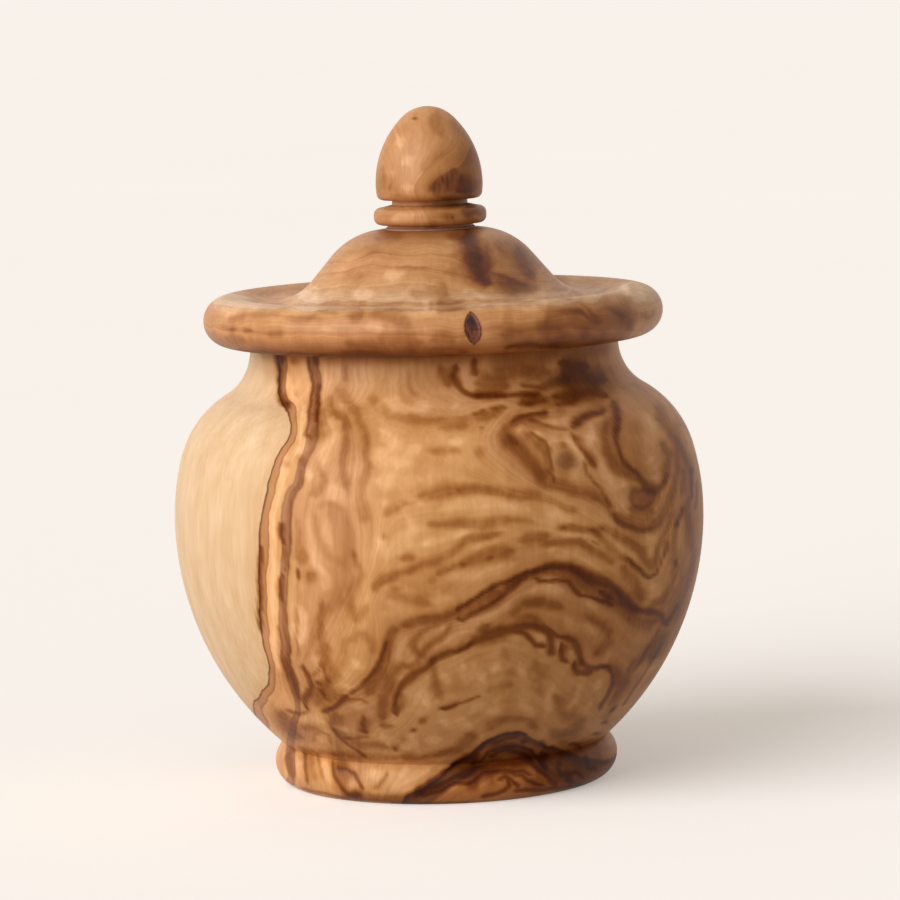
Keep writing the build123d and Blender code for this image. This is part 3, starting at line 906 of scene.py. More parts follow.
belly_bands = [
    [(280, 354, 5), (281, 366, 4), (282, 379, 3), (281, 390, 1.8), (283, 398, 2.6), (289, 406, 3.4)],
    [(294, 358, 5), (296, 366, 2)],
    [(295, 391, 2), (298, 395, 1)],
    [0.8, (316, 360, 4), (317, 375, 3.4), (318, 390, 4), (317, 405, 4), (319, 414, 6), (321, 424, 6),
     (320, 432, 7), (315, 438, 3)],
    [0.6, (300, 456, 5), (304, 462, 3), (302, 470, 1.6)],
    [(283, 461, 0.8), (288, 465, 1), (292, 460, 0.8)],
    [0.65, (330, 392, 1), (329, 402, 2.4), (332, 411, 3), (338, 416, 3), (345, 418, 2.4), (346, 428, 3),
     (346, 440, 3), (344, 452, 3), (342, 466, 3), (345, 478, 4), (348, 490, 2)],
    [0.6, (336, 388, 4), (341, 394, 6), (347, 401, 4), (352, 408, 4), (358, 413, 3), (360, 424, 3),
     (365, 434, 3.4), (367, 444, 3), (365, 455, 2), (368, 468, 4), (362, 484, 3.4), (361, 497, 3),
     (363, 508, 6), (366, 516, 6), (364, 524, 2)],
    [(346, 362, 1), (346, 384, 1)],
    [0.6, (371, 515, 0.8), (372, 528, 0.9), (370, 540, 0.9), (370, 552, 1)],
    [0.6, (350, 478, 1), (350, 500, 0.8)],
    [0.3, (316, 507, 2.4), (326, 504, 2.4), (336, 505, 2.4), (344, 511, 3), (347, 524, 3.4),
     (349, 538, 4.4), (349, 552, 5), (345, 566, 5), (345, 582, 5), (340, 596, 5), (335, 606, 4),
     (326, 612, 5), (319, 622, 5), (315, 634, 5), (309, 646, 4), (306, 658, 3)],
    [0.3, (313, 512, 2.4), (314, 524, 2.4), (317, 536, 3), (321, 547, 4), (327, 556, 3), (337, 560, 3),
     (344, 566, 3)],
    [0.5, (320, 470, 3), (325, 482, 3), (318, 492, 4), (310, 496, 4)],
    [0.55, (288, 656, 3), (288, 668, 4), (291, 682, 4.6), (296, 694, 4.4), (301, 704, 3.4)],
    [0.6, (297, 516, 0.8), (298, 534, 1.4), (298, 550, 1.6), (299, 561, 3)],
    [0.6, (303, 545, 1), (305, 556, 2.4), (301, 564, 2.4)],
    [0.8, (303, 575, 2.4), (309, 577, 5), (314, 574, 3)],
    [(297, 605, 0.8), (296, 622, 0.9), (296, 642, 0.9), (298, 660, 0.9)],
    [(322, 600, 1), (321, 616, 1.2), (321, 632, 1.4), (321, 644, 1.2)],
    [(327, 642, 3), (325, 654, 5), (328, 665, 5), (334, 674, 5), (322, 690, 7), (322, 700, 8),
     (332, 692, 7), (334, 700, 5)],
    [0.3, (346, 638, 4), (344, 650, 4), (341, 662, 5), (336, 672, 5)],
    [0.5, (350, 642, 4), (358, 635, 4.4), (366, 635, 4), (372, 643, 3.4), (374, 656, 3)],
    [0.55, (352, 550, 3), (357, 562, 1), (360, 575, 4), (352, 590, 4), (350, 604, 4), (357, 618, 4),
     (366, 606, 5)],
    [0.8, (370, 592, 2.4), (376, 586, 4), (383, 580, 5.4), (391, 578, 4), (399, 574, 3),
     (408, 571, 2.6), (415, 567, 2.4), (424, 564, 3), (434, 562, 4.4), (444, 558, 4.4), (454, 551, 3),
     (460, 544, 2.6), (466, 539, 2.6), (478, 537, 4), (490, 535, 4), (502, 533, 3)],
    [0.8, (434, 576, 2.4), (445, 570, 3), (457, 566, 3.6), (469, 561, 5), (481, 557, 6),
     (494, 553, 6.6), (506, 552, 6), (516, 551, 3)],
    [0.7, (398, 557, 2.4), (410, 557, 3), (418, 559, 2)],
    [0.5, (427, 582, 4), (436, 580, 3)],
    [0.6, (401, 587, 3), (390, 595, 4), (404, 598, 4), (420, 600, 5), (430, 605, 5)],
    [0.75, (425, 525, 1.6), (440, 525, 3), (460, 524, 3.6), (480, 524, 4.4), (497, 521, 4),
     (512, 520, 2), (526, 521, 1.4), (536, 525, 1.4)],
    [0.8, (418, 497, 3), (430, 493, 5), (445, 491, 5.6), (460, 490, 4.4), (475, 489, 3.6),
     (490, 490, 3.6), (505, 493, 5), (520, 494, 5.4), (535, 494, 4.6), (545, 499, 3), (556, 503, 2),
     (566, 508, 1.6), (578, 512, 2)],
    [0.6, (480, 492, 0.8), (492, 492, 2), (506, 494, 3), (520, 494, 3.4), (532, 495, 2.6)],
    [0.6, (396, 502, 1.4), (412, 504, 1.6)],
    [0.7, (383, 515, 3), (392, 510, 4), (402, 507, 3)],
    [0.6, (428, 450, 2), (444, 451, 3), (462, 450, 2)],
    [0.6, (440, 427, 3), (456, 425, 3.4), (470, 424, 3)],
    [0.5, (480, 453, 4)],
    [0.5, (370, 400, 5), (381, 404, 2), (386, 411, 2.4), (394, 416, 2.8), (406, 419, 3),
     (422, 421, 2.6), (440, 420, 2.2), (456, 418, 1.6), (470, 417, 2), (484, 416, 3), (498, 413, 2)],
    [0.5, (408, 370, 0.8), (409, 384, 0.9), (413, 393, 0.9), (420, 398, 0.8)],
    [(440, 366, 6), (446, 376, 6), (450, 388, 3)],
    [(478, 384, 8), (492, 380, 9), (506, 372, 8), (520, 370, 8), (536, 372, 8), (548, 372, 8)],
    [(474, 394, 4), (494, 390, 5), (508, 386, 4)],
    [0.75, (560, 380, 14), (585, 378, 16), (604, 385, 12), (600, 366, 10)],
    [(520, 398, 3), (536, 400, 5), (552, 400, 4), (566, 400, 4), (580, 396, 4)],
    [0.5, (556, 410, 4), (566, 414, 4)],
    [(478, 418, 3), (490, 415, 3), (500, 410, 3)],
    [(546, 408, 4), (543, 415, 2.6), (531, 418, 3.4), (518, 420, 4), (510, 426, 4.6), (505, 433, 5),
     (509, 441, 6.4), (518, 447, 6.4), (526, 454, 4.4), (532, 461, 5.4), (537, 469, 5.6),
     (542, 478, 5.4), (547, 485, 4), (556, 486, 4.4), (566, 487, 4.6), (577, 492, 5), (589, 494, 5),
     (600, 498, 2.4), (607, 505, 2.4), (613, 513, 3), (619, 521, 3)],
    [0.6, (523, 421, 3), (536, 426, 3), (550, 429, 2)],
    [0.8, (524, 432, 3), (531, 440, 4), (540, 446, 4), (545, 454, 3), (547, 464, 2), (548, 476, 2)],
    [0.4, (560, 436, 4), (565, 447, 6), (567, 456, 5), (565, 466, 8), (563, 476, 8), (563, 485, 7)],
    [(570, 424, 4), (578, 420, 5), (588, 414, 4), (600, 411, 4), (608, 408, 3)],
    [0.8, (572, 433, 2), (579, 441, 2), (586, 450, 3), (592, 459, 4), (595, 468, 4)],
    [(608, 415, 4), (606, 428, 3.6), (606, 442, 3.6), (608, 453, 4), (613, 462, 4.6), (619, 470, 4),
     (628, 476, 3), (638, 482, 3)],
    [(617, 405, 6), (616, 420, 5), (617, 434, 4)],
    [(655, 403, 3), (660, 413, 4), (665, 423, 4), (670, 432, 2.4), (676, 443, 2), (678, 455, 1.6),
     (678, 468, 1.6), (675, 480, 1.8), (672, 492, 2.4), (668, 503, 3.4), (664, 514, 4), (657, 524, 4),
     (646, 528, 6), (634, 525, 6), (622, 519, 5), (613, 512, 3)],
    [(630, 508, 5), (642, 514, 8), (654, 512, 6)],
    [0.4, (630, 488, 4), (640, 497, 5), (652, 501, 7), (662, 496, 5)],
    [(673, 434, 1), (679, 444, 2), (684, 453, 2), (688, 463, 2.4), (691, 476, 3), (690, 494, 3.4),
     (686, 508, 3), (690, 524, 4), (690, 540, 5), (694, 550, 2.6), (692, 562, 2.4), (690, 574, 2.6),
     (686, 590, 2), (682, 602, 3), (678, 612, 3), (674, 622, 3)],
    [(683, 466, 1.4), (684, 482, 2), (683, 496, 1.6)],
    [(659, 438, 1.4), (664, 447, 3), (670, 456, 3.4), (668, 467, 4), (664, 478, 3), (660, 484, 3)],
    [0.4, (628, 422, 4), (640, 432, 4.4)],
    [(556, 529, 2), (562, 526, 2.6), (571, 527, 3), (580, 530, 2.4), (590, 531, 2.4), (597, 534, 2.4),
     (604, 540, 2.6), (610, 548, 3), (618, 555, 2.4), (626, 560, 2.4), (634, 567, 2.4),
     (642, 573, 2.4)],
    [(596, 527, 2), (606, 529, 2.4), (616, 534, 3), (625, 540, 3.6), (634, 545, 3.6), (641, 551, 3.6),
     (646, 559, 4), (652, 565, 4), (656, 556, 3), (658, 548, 3), (661, 541, 3), (666, 533, 2.4),
     (670, 522, 2), (673, 510, 1.6)],
    [(520, 541, 4), (532, 539, 6), (545, 538, 3), (551, 534, 2)],
    [(541, 546, 1.6), (555, 543, 2.6), (568, 541, 3), (580, 542, 3), (590, 547, 3), (598, 553, 4),
     (607, 558, 4), (614, 563, 3)],
    [(620, 565, 3), (627, 574, 4.4), (635, 582, 4), (640, 592, 5), (641, 602, 4)],
    [(682, 504, 2), (679, 518, 2), (676, 532, 2), (674, 545, 4), (674, 558, 5), (675, 568, 3),
     (672, 580, 3), (668, 590, 3), (662, 600, 3), (652, 606, 3)],
    [(505, 586, 5), (520, 578, 3), (540, 571, 3), (560, 570, 5), (574, 574, 7), (588, 583, 7),
     (600, 590, 8), (612, 598, 8), (624, 606, 6), (640, 622, 8), (655, 622, 8)],
    [(400, 626, 3.4), (410, 623, 4), (420, 621, 4.4), (431, 619, 4.8), (442, 617, 3.6), (452, 613, 4),
     (462, 610, 6), (472, 606, 7), (482, 602, 8), (492, 597, 8.4), (501, 592, 7)],
    [(399, 628, 2), (393, 631, 3.4), (389, 640, 4.4), (386, 652, 4.6), (383, 662, 5), (379, 672, 4.6),
     (374, 680, 5), (371, 690, 5), (366, 696, 5)],
    [(453, 623, 1), (448, 629, 1.6), (442, 636, 1.6), (436, 640, 2.6), (430, 644, 2.4), (425, 650, 2.4),
     (421, 655, 3), (416, 650, 3), (413, 645, 3), (417, 638, 2.2), (423, 632, 1.6), (432, 627, 1.2),
     (442, 623, 1)],
    [(418, 656, 1), (416, 663, 1), (409, 667, 1.2), (402, 666, 3), (397, 670, 5), (390, 675, 6),
     (387, 686, 7), (384, 698, 6), (381, 710, 4), (384, 720, 4)],
    [(450, 651, 1.6), (464, 645, 2), (474, 643, 3)],
    [(402, 690, 3), (402, 700, 4.6), (400, 710, 4)],
    [(479, 629, 6), (490, 625, 4)],
    [(508, 618, 3), (515, 612, 3), (521, 605, 4), (531, 603, 4.6), (542, 602, 5), (553, 604, 4.4),
     (564, 607, 3)],
    [(514, 620, 1), (526, 617, 1), (537, 618, 1.2), (543, 622, 1)],
    [0.75, (586, 614, 1.4), (594, 619, 2.4), (603, 624, 3.4), (609, 631, 3.4), (610, 640, 4),
     (602, 648, 4), (594, 655, 5)],
    [(565, 645, 5), (565, 655, 4)],
    [(578, 664, 5)],
    [(602, 668, 3), (612, 669, 3), (618, 676, 4), (620, 688, 4), (615, 700, 3), (611, 710, 3),
     (604, 722, 3)],
    [0.5, (486, 690, 4), (496, 688, 4), (506, 685, 4), (513, 684, 3)],
    [0.3, (510, 672, 4)],
    [0.6, (432, 655, 3), (434, 672, 3), (436, 690, 4), (442, 700, 4)],
    [0.5, (535, 662, 8), (540, 676, 8), (534, 686, 5), (540, 691, 4.4), (544, 697, 3)],
    [0.4, (504, 650, 5), (508, 660, 5)],
    [0.7, (553, 694, 3), (559, 701, 4.4), (560, 711, 4), (566, 717, 3), (574, 715, 6), (580, 722, 5),
     (574, 732, 6), (560, 734, 5), (550, 731, 4)],
    [(440, 709, 4), (448, 708, 2), (458, 701, 3)],
    [(420, 723, 3), (426, 717, 3.4)],
    [(410, 731, 3), (417, 729, 2.4)],
    [(404, 735, 1), (402, 741, 2.4)],
    [(394, 750, 5), (398, 745, 3)],
    [(400, 756, 3), (410, 757, 4), (420, 758, 3), (432, 755, 3), (446, 752, 4), (458, 748, 5),
     (467, 742, 6), (472, 736, 5), (465, 733, 3)],
    [0.65, (484, 730, 3), (491, 725, 4.4), (500, 721, 3.6), (512, 718, 1.4), (525, 718, 1.6),
     (532, 724, 4), (536, 730, 3)],
    [(284, 712, 5), (284, 722, 8), (292, 735, 8), (302, 738, 5)],
    [0.8, (332, 729, 2.4), (342, 735, 4), (352, 741, 4), (362, 746, 4), (376, 745, 4), (388, 748, 4)],
    [0.6, (300, 728, 3), (312, 728, 2), (322, 728, 2)],
    [0.8, (363, 716, 4), (364, 726, 5), (365, 735, 3)],
    [0.9, (334, 712, 4), (338, 720, 6), (344, 716, 4)],
    [0.9, (366, 692, 5), (372, 684, 6), (379, 676, 6), (384, 666, 4)],
    [0.7, (298, 748, 2), (320, 752, 3), (340, 754, 4), (356, 756, 3), (376, 757, 3), (400, 758, 3)],
    [0.6, (311, 750, 3), (312, 766, 3), (315, 780, 2.4)],
    [(289, 752, 3), (290, 768, 3.4), (294, 780, 2.4)],
    [0.6, (335, 762, 3), (339, 770, 5), (344, 774, 5), (352, 774, 3), (359, 781, 2)],
    [0.6, (340, 764, 4), (350, 766, 3)],
    [0.5, (372, 789, 2), (381, 787, 2), (386, 776, 1.2)],
    [(350, 794, 5), (384, 798, 2), (400, 798, 3), (420, 799, 2)],
    [(414, 795, 4), (428, 788, 5.6), (441, 781, 6), (453, 774, 6), (464, 766, 7), (474, 760, 5)],
    [(490, 747, 5), (505, 746, 4), (520, 750, 5), (535, 757, 6)],
    [(470, 777, 3), (473, 785, 4.4), (476, 776, 5), (490, 773, 3), (500, 770, 3)],
    [(493, 776, 0.8), (494, 786, 0.8)],
    [0.6, (540, 772, 6), (555, 778, 6), (530, 786, 4), (550, 756, 7), (566, 760, 8), (585, 766, 7),
     (575, 748, 9), (592, 745, 8), (600, 760, 8), (560, 742, 5)],
    [(395, 726, 2), (385, 726, 2), (379, 721, 1.6)],
    [(650, 660, 8), (660, 640, 8), (634, 664, 3), (628, 674, 3), (624, 690, 2)],
]

belly_gleams = [
    [(286, 372, 2.4), (289, 386, 3), (295, 402, 2), (297, 416, 1.6)],
    [(304, 404, 2.4), (304, 420, 2.4), (301, 438, 3.4), (304, 447, 4.4), (295, 452, 4)],
    [(338, 404, 2.4), (344, 409, 2.4)],
    [(327, 420, 2), (334, 424, 4), (335, 434, 3), (326, 450, 5), (322, 464, 5)],
    [(288, 455, 2.4), (284, 472, 3), (283, 486, 2.4), (276, 500, 2.4), (273, 518, 2.8), (273, 548, 3.4),
     (273, 578, 3.4), (273, 610, 3.6), (273, 634, 3.8), (276, 655, 3), (279, 672, 2)],
    [(333, 484, 6), (335, 494, 8), (330, 499, 5)],
    [(309, 480, 4), (307, 470, 3)],
    [(309, 514, 2), (310, 532, 3), (312, 548, 3), (313, 562, 4), (322, 571, 3), (328, 579, 4),
     (324, 590, 6)],
    [(326, 520, 3), (328, 534, 4), (332, 546, 3)],
    [(356, 566, 2.4), (355, 578, 2)],
    [(295, 604, 2), (304, 616, 5), (303, 634, 4), (299, 646, 2)],
    [(292, 620, 3), (293, 640, 2)],
    [(315, 652, 2.4), (315, 664, 2.6)],
    [(352, 660, 3), (358, 666, 4.4), (364, 668, 3)],
    [(344, 684, 3), (352, 686, 5)],
    [(300, 720, 3.6), (312, 717, 5), (323, 721, 4.6)],
    [(316, 736, 4), (325, 741, 5)],
    [(340, 727, 2.4), (350, 731, 4)],
    [(352, 706, 5), (363, 707, 4)],
    [(378, 405, 4), (395, 405, 7), (405, 410, 5), (430, 408, 5)],
    [(380, 430, 6), (395, 446, 7), (380, 457, 8), (402, 463, 8), (420, 446, 5)],
    [(450, 443, 4), (464, 441, 3)],
    [(376, 480, 8), (400, 482, 8), (420, 480, 6)],
    [(451, 409, 1.3), (460, 403, 1.1)],
    [(483, 445, 1.4), (488, 445, 0.8)],
    [(423, 401, 0.9), (431, 402, 0.7)],
    [(384, 503, 3)],
    [(421, 504, 1.4)],
    [(408, 516, 4), (414, 530, 5), (402, 545, 8), (388, 553, 6), (378, 540, 5)],
    [(440, 510, 5), (460, 505, 6), (480, 504, 6), (500, 505, 5), (518, 508, 5), (530, 511, 4)],
    [(425, 545, 5), (445, 538, 3), (470, 531, 2)],
    [(470, 548, 2.4), (484, 544, 2.6), (498, 541, 2.6)],
    [(448, 579, 6), (466, 575, 5), (482, 575, 4), (496, 570, 6), (516, 563, 4)],
    [(440, 590, 5), (438, 602, 5), (452, 598, 3)],
    [(386, 588, 4), (395, 610, 6), (384, 615, 5)],
    [(400, 634, 4), (403, 643, 6), (396, 655, 4), (408, 634, 3)],
    [(410, 661, 3), (414, 657, 2)],
    [(448, 625, 2), (438, 632, 2.4)],
    [(444, 644, 2), (452, 640, 4), (464, 632, 5), (474, 624, 4), (488, 616, 4), (500, 609, 3)],
    [(398, 681, 3), (402, 674, 3)],
    [(424, 688, 4), (424, 700, 5), (428, 708, 3)],
    [(440, 672, 5), (448, 684, 5)],
    [(462, 664, 4), (466, 680, 5), (476, 668, 6), (484, 680, 5)],
    [(493, 672, 5), (497, 662, 4)],
    [(520, 662, 4), (524, 678, 4)],
    [(497, 700, 5), (495, 711, 5), (478, 706, 4), (470, 712, 4)],
    [(520, 698, 4), (525, 708, 6), (532, 716, 4)],
    [(583, 680, 1.4), (580, 690, 1.6), (576, 699, 2), (570, 706, 1.8), (565, 709, 1.2)],
    [(556, 684, 1.6), (551, 694, 2.4), (548, 703, 4), (548, 714, 4)],
    [(592, 702, 1.2), (584, 709, 1.2)],
    [(608, 654, 4), (604, 661, 4), (612, 655, 2)],
    [(567, 650, 2), (571, 655, 2)],
    [(556, 645, 2)],
    [(566, 616, 4), (570, 626, 5), (585, 629, 6), (595, 633, 5)],
    [(540, 637, 3.6)],
    [(600, 680, 5), (594, 690, 4)],
    [(530, 593, 5), (545, 590, 6), (562, 591, 5)],
    [(510, 602, 3), (500, 612, 3)],
    [(548, 575, 4)],
    [(586, 600, 4), (596, 610, 4)],
    [(562, 535, 2), (576, 535, 2.6), (590, 538, 2.6), (600, 545, 2.4)],
    [(552, 516, 4)],
    [(551, 551, 3)],
    [(556, 557, 4), (576, 553, 4), (592, 562, 5), (602, 569, 3)],
    [(543, 436, 4), (533, 434, 2)],
    [(539, 450, 4), (540, 460, 3), (546, 470, 3)],
    [(560, 434, 2.4), (568, 441, 2.4), (577, 449, 2.8), (582, 458, 2), (575, 468, 5), (574, 478, 4)],
    [(520, 426, 3), (517, 433, 2.4)],
    [(592, 428, 4), (590, 440, 5), (598, 440, 3), (598, 455, 4), (604, 470, 4), (614, 482, 6),
     (626, 486, 5)],
    [(548, 422, 2), (560, 424, 2)],
    [(644, 414, 5), (652, 425, 5), (648, 445, 6), (644, 462, 4), (654, 460, 4)],
    [(615, 483, 4)],
    [(665, 440, 2), (672, 452, 2)],
    [(680, 425, 3), (688, 440, 3), (694, 455, 2)],
    [(616, 543, 3), (624, 548, 3), (634, 556, 4), (641, 563, 3)],
    [(614, 554, 2)],
    [(649, 548, 4), (650, 556, 3), (656, 540, 4), (644, 537, 3)],
    [(652, 584, 6), (655, 592, 6), (650, 600, 3)],
    [(676, 578, 3), (676, 590, 3)],
    [(667, 606, 3), (665, 616, 3)],
    [(645, 614, 3), (636, 617, 2)],
    [(606, 594, 2.4)],
    [(698, 560, 2), (697, 570, 2)],
    [(684, 516, 1.4), (682, 526, 1.4)],
    [(658, 570, 2), (662, 560, 1.4)],
    [(658, 655, 1.3), (645, 676, 1.3), (630, 698, 1.4)],
    [(668, 654, 1.3), (652, 682, 1.3), (636, 706, 1.3)],
    [(381, 733, 4), (386, 740, 5), (378, 736, 3)],
    [(402, 748, 4), (414, 744, 3), (412, 737, 3), (418, 750, 2)],
    [(440, 722, 5), (452, 726, 5), (462, 721, 4), (472, 727, 3)],
    [(440, 740, 6), (425, 741, 5)],
    [(482, 736, 3)],
    [(297, 758, 3), (300, 770, 3.6), (302, 781, 2)],
    [(324, 762, 4), (327, 773, 5), (331, 784, 4)],
    [(347, 783, 2.4), (352, 785, 3)],
    [(354, 786, 4)],
    [(372, 768, 6), (376, 778, 6)],
    [(350, 764, 3), (362, 766, 3)],
    [(400, 776, 8), (414, 772, 6), (412, 786, 6), (396, 788, 5), (430, 768, 4)],
    [(375, 793, 2.6)],
    [(479, 759, 2.4), (482, 756, 2.4)],
    [(484, 779, 5), (482, 788, 4)],
    [(500, 777, 4.4), (502, 784, 4)],
    [(458, 784, 4.4), (450, 790, 3.4)],
    [(517, 777, 3.6)],
    [(533, 776, 3)],
    [(545, 787, 4)],
    [(576, 776, 2.6)],
    [(543, 733, 4)],
    [(530, 748, 3)],
]

belly_shades = [
    [0.45, (600, 430, 20), (625, 450, 22), (640, 470, 20)],
    [0.6, (505, 434, 5), (516, 446, 6), (531, 461, 6), (546, 482, 5)],
    # Painted shade: the right flank, turned away from the window, made darker.
    [0.58, (676, 425, 14), (694, 480, 14), (694, 540, 14), (680, 610, 14), (655, 660, 12)],
    [0.35, (560, 375, 18), (600, 380, 18)],
    # Painted shadow of the lid's flange: a dark line round the top of the neck, just under the flange.
    [0.7, (258, 350, 5), (300, 353, 5), (350, 356, 4), (440, 356, 4), (530, 353, 5), (612, 346, 5)],
    # Painted shade on the neck's left, in the flange's shadow.
    [0.16, (262, 366, 9), (300, 370, 9)],
    [0.2, (284, 760, 12), (310, 768, 14), (350, 776, 14)],
    [0.2, (480, 778, 10), (560, 772, 14), (606, 762, 12)],
    [0.4, (574, 756, 14), (600, 750, 12)],
    [0.35, (276, 708, 8), (284, 722, 12), (296, 732, 10)],
    [0.35, (314, 684, 9), (326, 692, 11)],
    [0.2, (340, 430, 16), (380, 440, 22)],
    [0.12, (328, 508, 6), (342, 530, 9), (346, 555, 9), (344, 580, 9), (332, 604, 8)],
]

pot_wood = olive_wood("pot_wood", belly_rings, first=-1.0, last=11.0, gloss=0.16)
pot = turned("pot_turned", pot_section, steps_round=336, wood=pot_wood, crowding=0.66)
figured(
    pot,
    reach=26,
    sway=7,
    lines=belly_lines,
    veins=belly_veins_and_contact_shadow,
    bands=belly_bands,
    gleams=belly_gleams,
    shades=belly_shades,
)
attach(pot, "pot")
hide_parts("pot")

# Lid.
# A second turning of olive wood, loose on the pot: a wide flange with a half-round edge, a
# dome, and under it the spigot that drops into the mouth. A small dead knot shows on the edge.
flange_overhang = 0.0081
flange_thickness = 0.0086
valley_depth = 0.0013
valley_arc = 0.0098
dome_slope = radians(49.5)
dome_rise = 0.0110
dome_arc = 0.0128
spigot_depth = 0.0050
spigot_wall = 0.0050
spigot_lead = 0.0007
spigot_clearance = 0.0012
hollow_height = 0.0074
knob_foot_radius = 0.0076
glue_bead = 0.0004  # squeezed out round the knob's foot, on the lid's seat
dowel_hole_radius = 0.00305
dowel_in_lid = 0.0075
dowel_end_clearance = 0.0005

spigot_radius = mouth_radius - spigot_clearance
spigot_level = rim_level - spigot_depth
hollow_radius = spigot_radius - spigot_wall
hollow_drop = hollow_height + spigot_depth
hollow_arc = (hollow_radius**2 + hollow_drop**2) / (2 * hollow_drop)
edge_round = flange_thickness / 2
crest_radius = neck_radius + flange_overhang - edge_round
seat_level = rim_level + flange_thickness + dome_rise
seat_radius = knob_foot_radius + glue_bead
arcs_drop = (dome_arc + valley_arc) * (1 - cos(dome_slope))
side_length = (dome_rise + valley_depth - arcs_drop) / sin(dome_slope)
dome_foot = (
    seat_radius + (dome_arc + valley_arc) * sin(dome_slope) + side_length * cos(dome_slope)
)
crest_turn = 2 * atan(valley_depth / (crest_radius - dome_foot))
crest_arc = (crest_radius - dome_foot) / (2 * sin(crest_turn))
hole_level = seat_level - dowel_in_lid - dowel_end_clearance

lid_section = drawn(
    (0, rim_level + hollow_height),
    OUT,
    (hollow_arc, -asin(hollow_radius / hollow_arc)),
    spacing=0.002,
)
lid_section += eased(
    lid_section[-1],
    (spigot_radius - spigot_lead, spigot_level),
    (spigot_radius, spigot_level + spigot_lead),
    (spigot_radius, rim_level),
    (crest_radius, rim_level),
)[1:]
lid_section += drawn(
    (crest_radius, rim_level),
    OUT,
    (edge_round, pi),
    (crest_arc, crest_turn),
    (crest_arc, -crest_turn),
    (valley_arc, -dome_slope),
    (side_length,),
    (dome_arc, dome_slope),
    spacing=0.00032,
)[1:]
lid_section += eased(
    (seat_radius, seat_level),
    (dowel_hole_radius, seat_level),
    (dowel_hole_radius, hole_level),
    (0, hole_level),
)[1:]

# The lid's figure, traced as on the belly. Its order grows from the dome down to the flange.
lid_lines = [
    (1.0, [(356, 250), (372, 244), (390, 241), (410, 243), (432, 242), (450, 246)]),
    (2.0, [(340, 262), (360, 257), (378, 252), (395, 254), (418, 256), (438, 252), (456, 256)]),
    (3.0, [(330, 274), (350, 270), (370, 264), (388, 268), (408, 266), (426, 268), (444, 273),
           (462, 275)]),
    (4.0, [(322, 288), (345, 286), (362, 290), (380, 286), (400, 284), (425, 284), (450, 288),
           (470, 290), (500, 292), (540, 290), (565, 289)]),
    (5.0, [(215, 305), (240, 308), (260, 310), (285, 309), (305, 305), (330, 303), (360, 302),
           (385, 303), (410, 303), (440, 304), (455, 304), (470, 301), (490, 301), (520, 299),
           (560, 297), (600, 294), (625, 292)]),
    (6.0, [(226, 322), (240, 314), (262, 315), (285, 317), (310, 319), (345, 316), (372, 317),
           (388, 320), (402, 325), (430, 320), (450, 318)]),
    (7.0, [(208, 326), (225, 328), (243, 332), (265, 333), (290, 332), (320, 333), (345, 334),
           (380, 333), (415, 334), (440, 334), (458, 338)]),
    (8.0, [(225, 338), (250, 344), (280, 348), (310, 350), (345, 350), (385, 348), (420, 350),
           (450, 350)]),
    (6.0, [(490, 312), (520, 313), (552, 312), (565, 308), (578, 306), (590, 311), (600, 318),
           (620, 322), (645, 320)]),
    (7.0, [(492, 326), (520, 331), (548, 327), (575, 326), (600, 330), (630, 328)]),
    (8.0, [(486, 350), (515, 348), (550, 345), (590, 341), (615, 337)]),
]

lid_rings_and_sheen = [
    (0.0, paint(186, 132, 86)),
    (0.9, paint(200, 148, 100)),
    (1.0, paint(184, 131, 84)),
    (1.3, paint(197, 144, 95)),
    (1.9, paint(201, 147, 98)),
    (2.0, paint(186, 132, 84)),
    (2.2, paint(199, 145, 96)),
    (2.9, paint(205, 151, 102)),
    (3.0, paint(182, 127, 80)),
    (3.2, paint(203, 149, 100)),
    (3.9, paint(201, 151, 102)),
    (4.0, paint(194, 144, 98)),
    # Order 4.3 to 4.9 lies on the flange top: its paler, greyer colours are a painted sheen of grazing
    # light.
    (4.3, paint(205, 161, 120)),
    (4.9, paint(208, 165, 125)),
    (5.0, paint(196, 150, 108)),
    (5.1, paint(202, 151, 103)),
    (5.7, paint(204, 147, 95)),
    (6.0, paint(196, 138, 87)),
    (6.3, paint(203, 145, 94)),
    (6.9, paint(203, 145, 94)),
    (7.0, paint(188, 128, 80)),
    (7.2, paint(206, 145, 92)),
    (8.0, paint(178, 117, 68)),
    (9.0, paint(146, 87, 45)),
]

